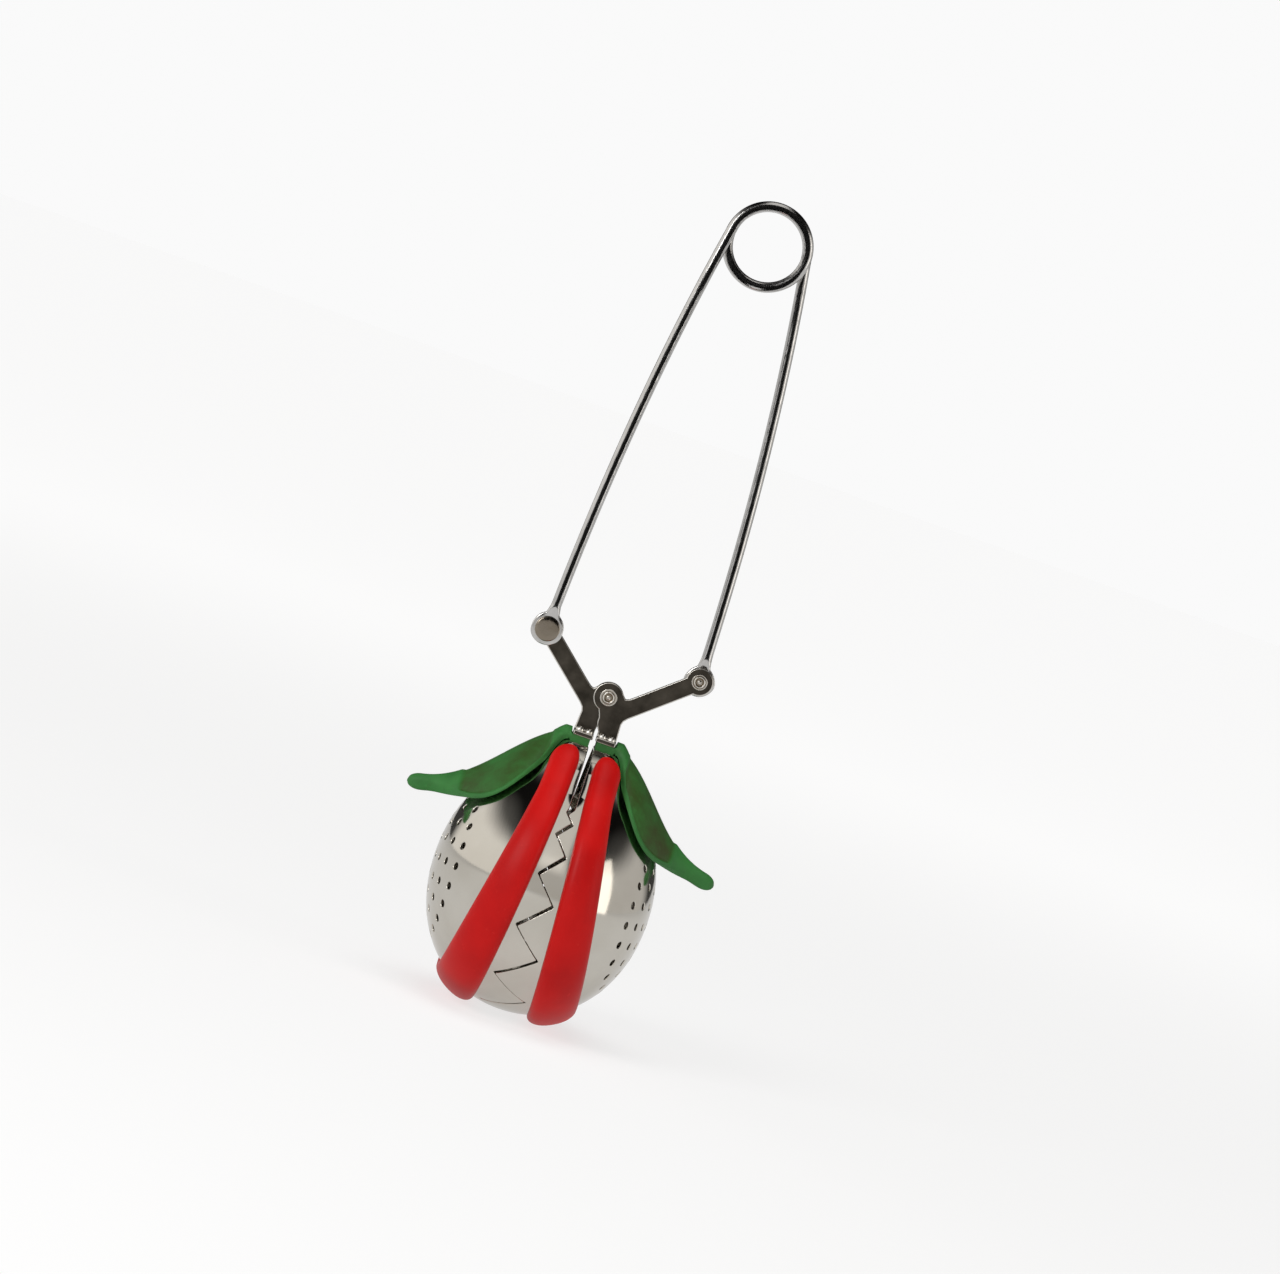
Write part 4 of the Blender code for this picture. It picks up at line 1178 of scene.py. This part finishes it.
FRAME_WIDTH = 254.0 * MM          # width of what the camera sees at the object
CAMERA_DISTANCE = 1.0
CAMERA_AZIMUTH = radians(-2.0)
CAMERA_ELEVATION = radians(2.5)
CAMERA_ROLL = radians(19.5)
AIM_RIGHT = 1.9 * MM              # the view's centre, from the origin, in the unrolled view
AIM_DOWN = 81.4 * MM
ROOM_DARK = 0.05
ROOM_LEFT = 0.95
ROOM_RIGHT = 0.60
ROOM_FRONT = 0.55
ROOM_CEILING = 0.10               # share of the walls' light that comes from overhead
CEILING_STRIP = 0.75              # light of a narrow strip overhead, along the depth axis
FLOOR_GLOW = 0.50                 # light that the floor gives the object
FLOOR_NEAR = 0.69                 # light that the floor shows, near the object and far away
FLOOR_FAR = 0.86
FLOOR_BAND = (0.05, 1.3)
FLOOR_REACH = 40.0
FLOOR_DROP = 0.2 * MM
FLOOR_GREY = 0.32
BACKDROP = 0.955
LEFT_BAND = (-0.55, -0.80)        # where the room's walls begin and end, as parts of a direction
RIGHT_BAND = (0.55, 0.80)
FRONT_BAND = (-0.60, -0.90)
CEILING_BAND = (0.35, 0.65)
STRIP_BANDS = {"X": (0.16, 0.30), "Y": (0.15, 0.40), "Z": (0.30, 0.55)}
SOFTBOXES = (                     # name, place, width, height, watts, colour, seen in reflections
    ("key_softbox", (-0.55, -0.70, 0.35), 0.35, 0.5, 3.2, (1.0, 1.0, 1.0), True),
    ("right_softbox", (0.85, -0.35, 0.15), 0.3, 0.7, 0.8, (1.0, 0.95, 0.88), True),
    ("top_softbox", (0.0, -0.1, 0.8), 0.6, 0.6, 3.0, (1.0, 1.0, 1.0), False),
)
FLAG_Y = -9.0 * MM
FLAG_HALF_WIDTH = 7.5 * MM
FLAG_LOOP = 14.0 * MM
FLAG_GREY = 0.01


def make_camera():
    data = bpy.data.cameras.new("camera")
    data.lens = data.sensor_width * CAMERA_DISTANCE / FRAME_WIDTH
    camera = link("camera", data)
    az, el = CAMERA_AZIMUTH, CAMERA_ELEVATION
    right = Vector((cos(az), sin(az), 0.0))
    ahead = Vector((-sin(az) * cos(el), cos(az) * cos(el), -sin(el)))
    up = right.cross(ahead)
    aim = right * AIM_RIGHT - up * AIM_DOWN
    rolled_up = up * cos(CAMERA_ROLL) - right * sin(CAMERA_ROLL)
    rolled_right = ahead.cross(rolled_up)
    place = Matrix((rolled_right, rolled_up, -ahead)).transposed().to_4x4()
    place.translation = aim - ahead * CAMERA_DISTANCE
    camera.matrix_world = place
    bpy.context.scene.camera = camera


def stage_material(mesh, name, grey):
    """Give a mesh a plain grey material without highlights; return its tree and shader."""
    material = bpy.data.materials.new(name)
    material.use_nodes = True
    shader = material.node_tree.nodes["Principled BSDF"]
    shader.inputs["Base Color"].default_value = (grey, grey, grey, 1.0)
    shader.inputs["Specular IOR Level"].default_value = 0.0
    mesh.materials.append(material)
    return material.node_tree, shader


def make_floor():
    """A pale floor. It shows even out to the horizon, and lights the object less than it shows."""
    mesh = bpy.data.meshes.new("floor")
    reach = FLOOR_REACH
    z = CAD_LOW.z - FLOOR_DROP
    mesh.from_pydata([(-reach, -reach, z), (reach, -reach, z), (reach, reach, z),
                      (-reach, reach, z)], [], [(0, 1, 2, 3)])
    tree, shader = stage_material(mesh, "pale_floor", FLOOR_GREY)
    shader.inputs["Roughness"].default_value = 0.8
    shader.inputs["Emission Color"].default_value = (1.0, 1.0, 1.0, 1.0)
    place = add_node(tree, "TexCoord")
    away = add_node(tree, "VectorMath", {0: place.outputs["Object"]}, operation="LENGTH")
    shown = smooth_band(tree, away.outputs["Value"], FLOOR_BAND, FLOOR_NEAR, FLOOR_FAR)
    path = add_node(tree, "LightPath")
    glow = add_node(tree, "Mix", {0: path.outputs["Is Camera Ray"], 2: FLOOR_GLOW, 3: shown})
    tree.links.new(glow.outputs[0], shader.inputs["Emission Strength"])
    floor = link("floor", mesh)


def world_math(tree, operation, first, second):
    return add_node(tree, "Math", {0: first, 1: second}, operation=operation).outputs[0]


def ceiling_strip(tree, split):
    """A soft bright strip overhead: it shows in the band of steel between the lips."""
    across = world_math(tree, "ABSOLUTE", split.outputs["X"], 0.0)
    narrow = smooth_band(tree, across, STRIP_BANDS["X"], CEILING_STRIP, 0.0)
    above = smooth_band(tree, split.outputs["Z"], STRIP_BANDS["Z"], 0.0, 1.0)
    before = smooth_band(tree, split.outputs["Y"], STRIP_BANDS["Y"], 1.0, 0.0)
    return world_math(tree, "MULTIPLY", world_math(tree, "MULTIPLY", narrow, above), before)


def make_world():
    """A pale room that is dim towards the viewer and far behind, and plain white as a backdrop."""
    world = bpy.data.worlds.new("studio")
    bpy.context.scene.world = world
    world.use_nodes = True
    tree = world.node_tree
    room = tree.nodes["Background"]
    place = add_node(tree, "TexCoord")
    split = add_node(tree, "SeparateXYZ", {0: place.outputs["Generated"]})
    left = smooth_band(tree, split.outputs["X"], LEFT_BAND, 0.0, ROOM_LEFT)
    right = smooth_band(tree, split.outputs["X"], RIGHT_BAND, 0.0, ROOM_RIGHT)
    sides = world_math(tree, "ADD", left, right)
    front = smooth_band(tree, split.outputs["Y"], FRONT_BAND, ROOM_DARK, ROOM_FRONT)
    walls = world_math(tree, "MAXIMUM", sides, front)
    high = smooth_band(tree, split.outputs["Z"], CEILING_BAND, 1.0, ROOM_CEILING)
    room_level = world_math(tree, "MULTIPLY", walls, high)
    level = world_math(tree, "ADD", room_level, ceiling_strip(tree, split))
    tree.links.new(level, room.inputs["Strength"])
    room.inputs["Color"].default_value = (1.0, 0.98, 0.95, 1.0)
    plain = add_node(tree, "Background", {"Color": (1.0, 1.0, 1.0, 1.0), "Strength": BACKDROP})
    path = add_node(tree, "LightPath")
    choose = add_node(tree, "MixShader", {0: path.outputs["Is Camera Ray"], 1: room.outputs[0],
                                          2: plain.outputs[0]})
    tree.links.new(choose.outputs[0], tree.nodes["World Output"].inputs["Surface"])


def make_flag():
    """Dark cards close before the wires that only reflections see: they put a core in the wire."""
    points = [(-FLAG_LOOP, FLAG_Y, FLAG_LOOP), (FLAG_LOOP, FLAG_Y, FLAG_LOOP),
              (FLAG_LOOP, FLAG_Y, -FLAG_LOOP), (-FLAG_LOOP, FLAG_Y, -FLAG_LOOP)]
    faces = [(0, 1, 2, 3)]
    for side in (LEFT, RIGHT):
        first = len(points)
        for place in (leg_point(side, 0.1), leg_point(side, 0.97)):
            points += [(place.x - FLAG_HALF_WIDTH, FLAG_Y, place.z),
                       (place.x + FLAG_HALF_WIDTH, FLAG_Y, place.z)]
        faces.append((first, first + 1, first + 3, first + 2))
    mesh = bpy.data.meshes.new("flag")
    mesh.from_pydata(points, [], faces)
    stage_material(mesh, "flag_black", FLAG_GREY)
    flag = link("flag", mesh)
    flag.visible_camera = False
    flag.visible_diffuse = False
    flag.visible_shadow = False


def make_lights():
    middle = (CAD_LOW + CAD_HIGH) / 2.0
    for name, place, width, height, power, colour, reflected in SOFTBOXES:
        data = bpy.data.lights.new(name, "AREA")
        data.shape = "RECTANGLE"
        data.size = width
        data.size_y = height
        data.energy = power
        data.color = colour
        light = link(name, data)
        light.location = place
        light.rotation_mode = "QUATERNION"
        light.rotation_quaternion = (middle - Vector(place)).to_track_quat("-Z", "Y")
        light.visible_camera = False
        light.visible_glossy = reflected


# ---------------- assembly

def make_side(side, steel):
    name = SIDE_NAME[side]
    make_wire(side, steel["wire"])
    make_arm(side, steel["plate"])
    make_pivot_rivet(f"{name}_pivot_tube", f"{name}_pivot_rivet", LEG_PIVOT[side], PIVOT_HEAD,
                     f"{name}_leg", steel["rivet"], LEFT_DOME if side == LEFT else None)
    for place_name in FOOT_RIVETS:
        make_foot_rivet(side, place_name, steel["rivet"])
    make_shell(side, steel["mirror"])
    make_lip(side, steel["red"])
    make_leaf(side, steel["green"])


def main():
    steel = {"wire": make_wire_steel(), "plate": make_plate_steel(), "rivet": make_rivet_steel(),
             "mirror": make_mirror_steel(), "red": make_red_silicone(),
             "green": make_green_silicone()}
    for side in (LEFT, RIGHT):
        make_side(side, steel)
    make_pivot_rivet("centre_pivot_tube", "centre_pivot_rivet", CENTRE_PIVOT, CENTRE_HEAD,
                     "left_jaw", steel["rivet"])
    make_camera()
    make_floor()
    make_world()
    make_flag()
    make_lights()
    bpy.context.scene.view_settings.view_transform = "Standard"


main()
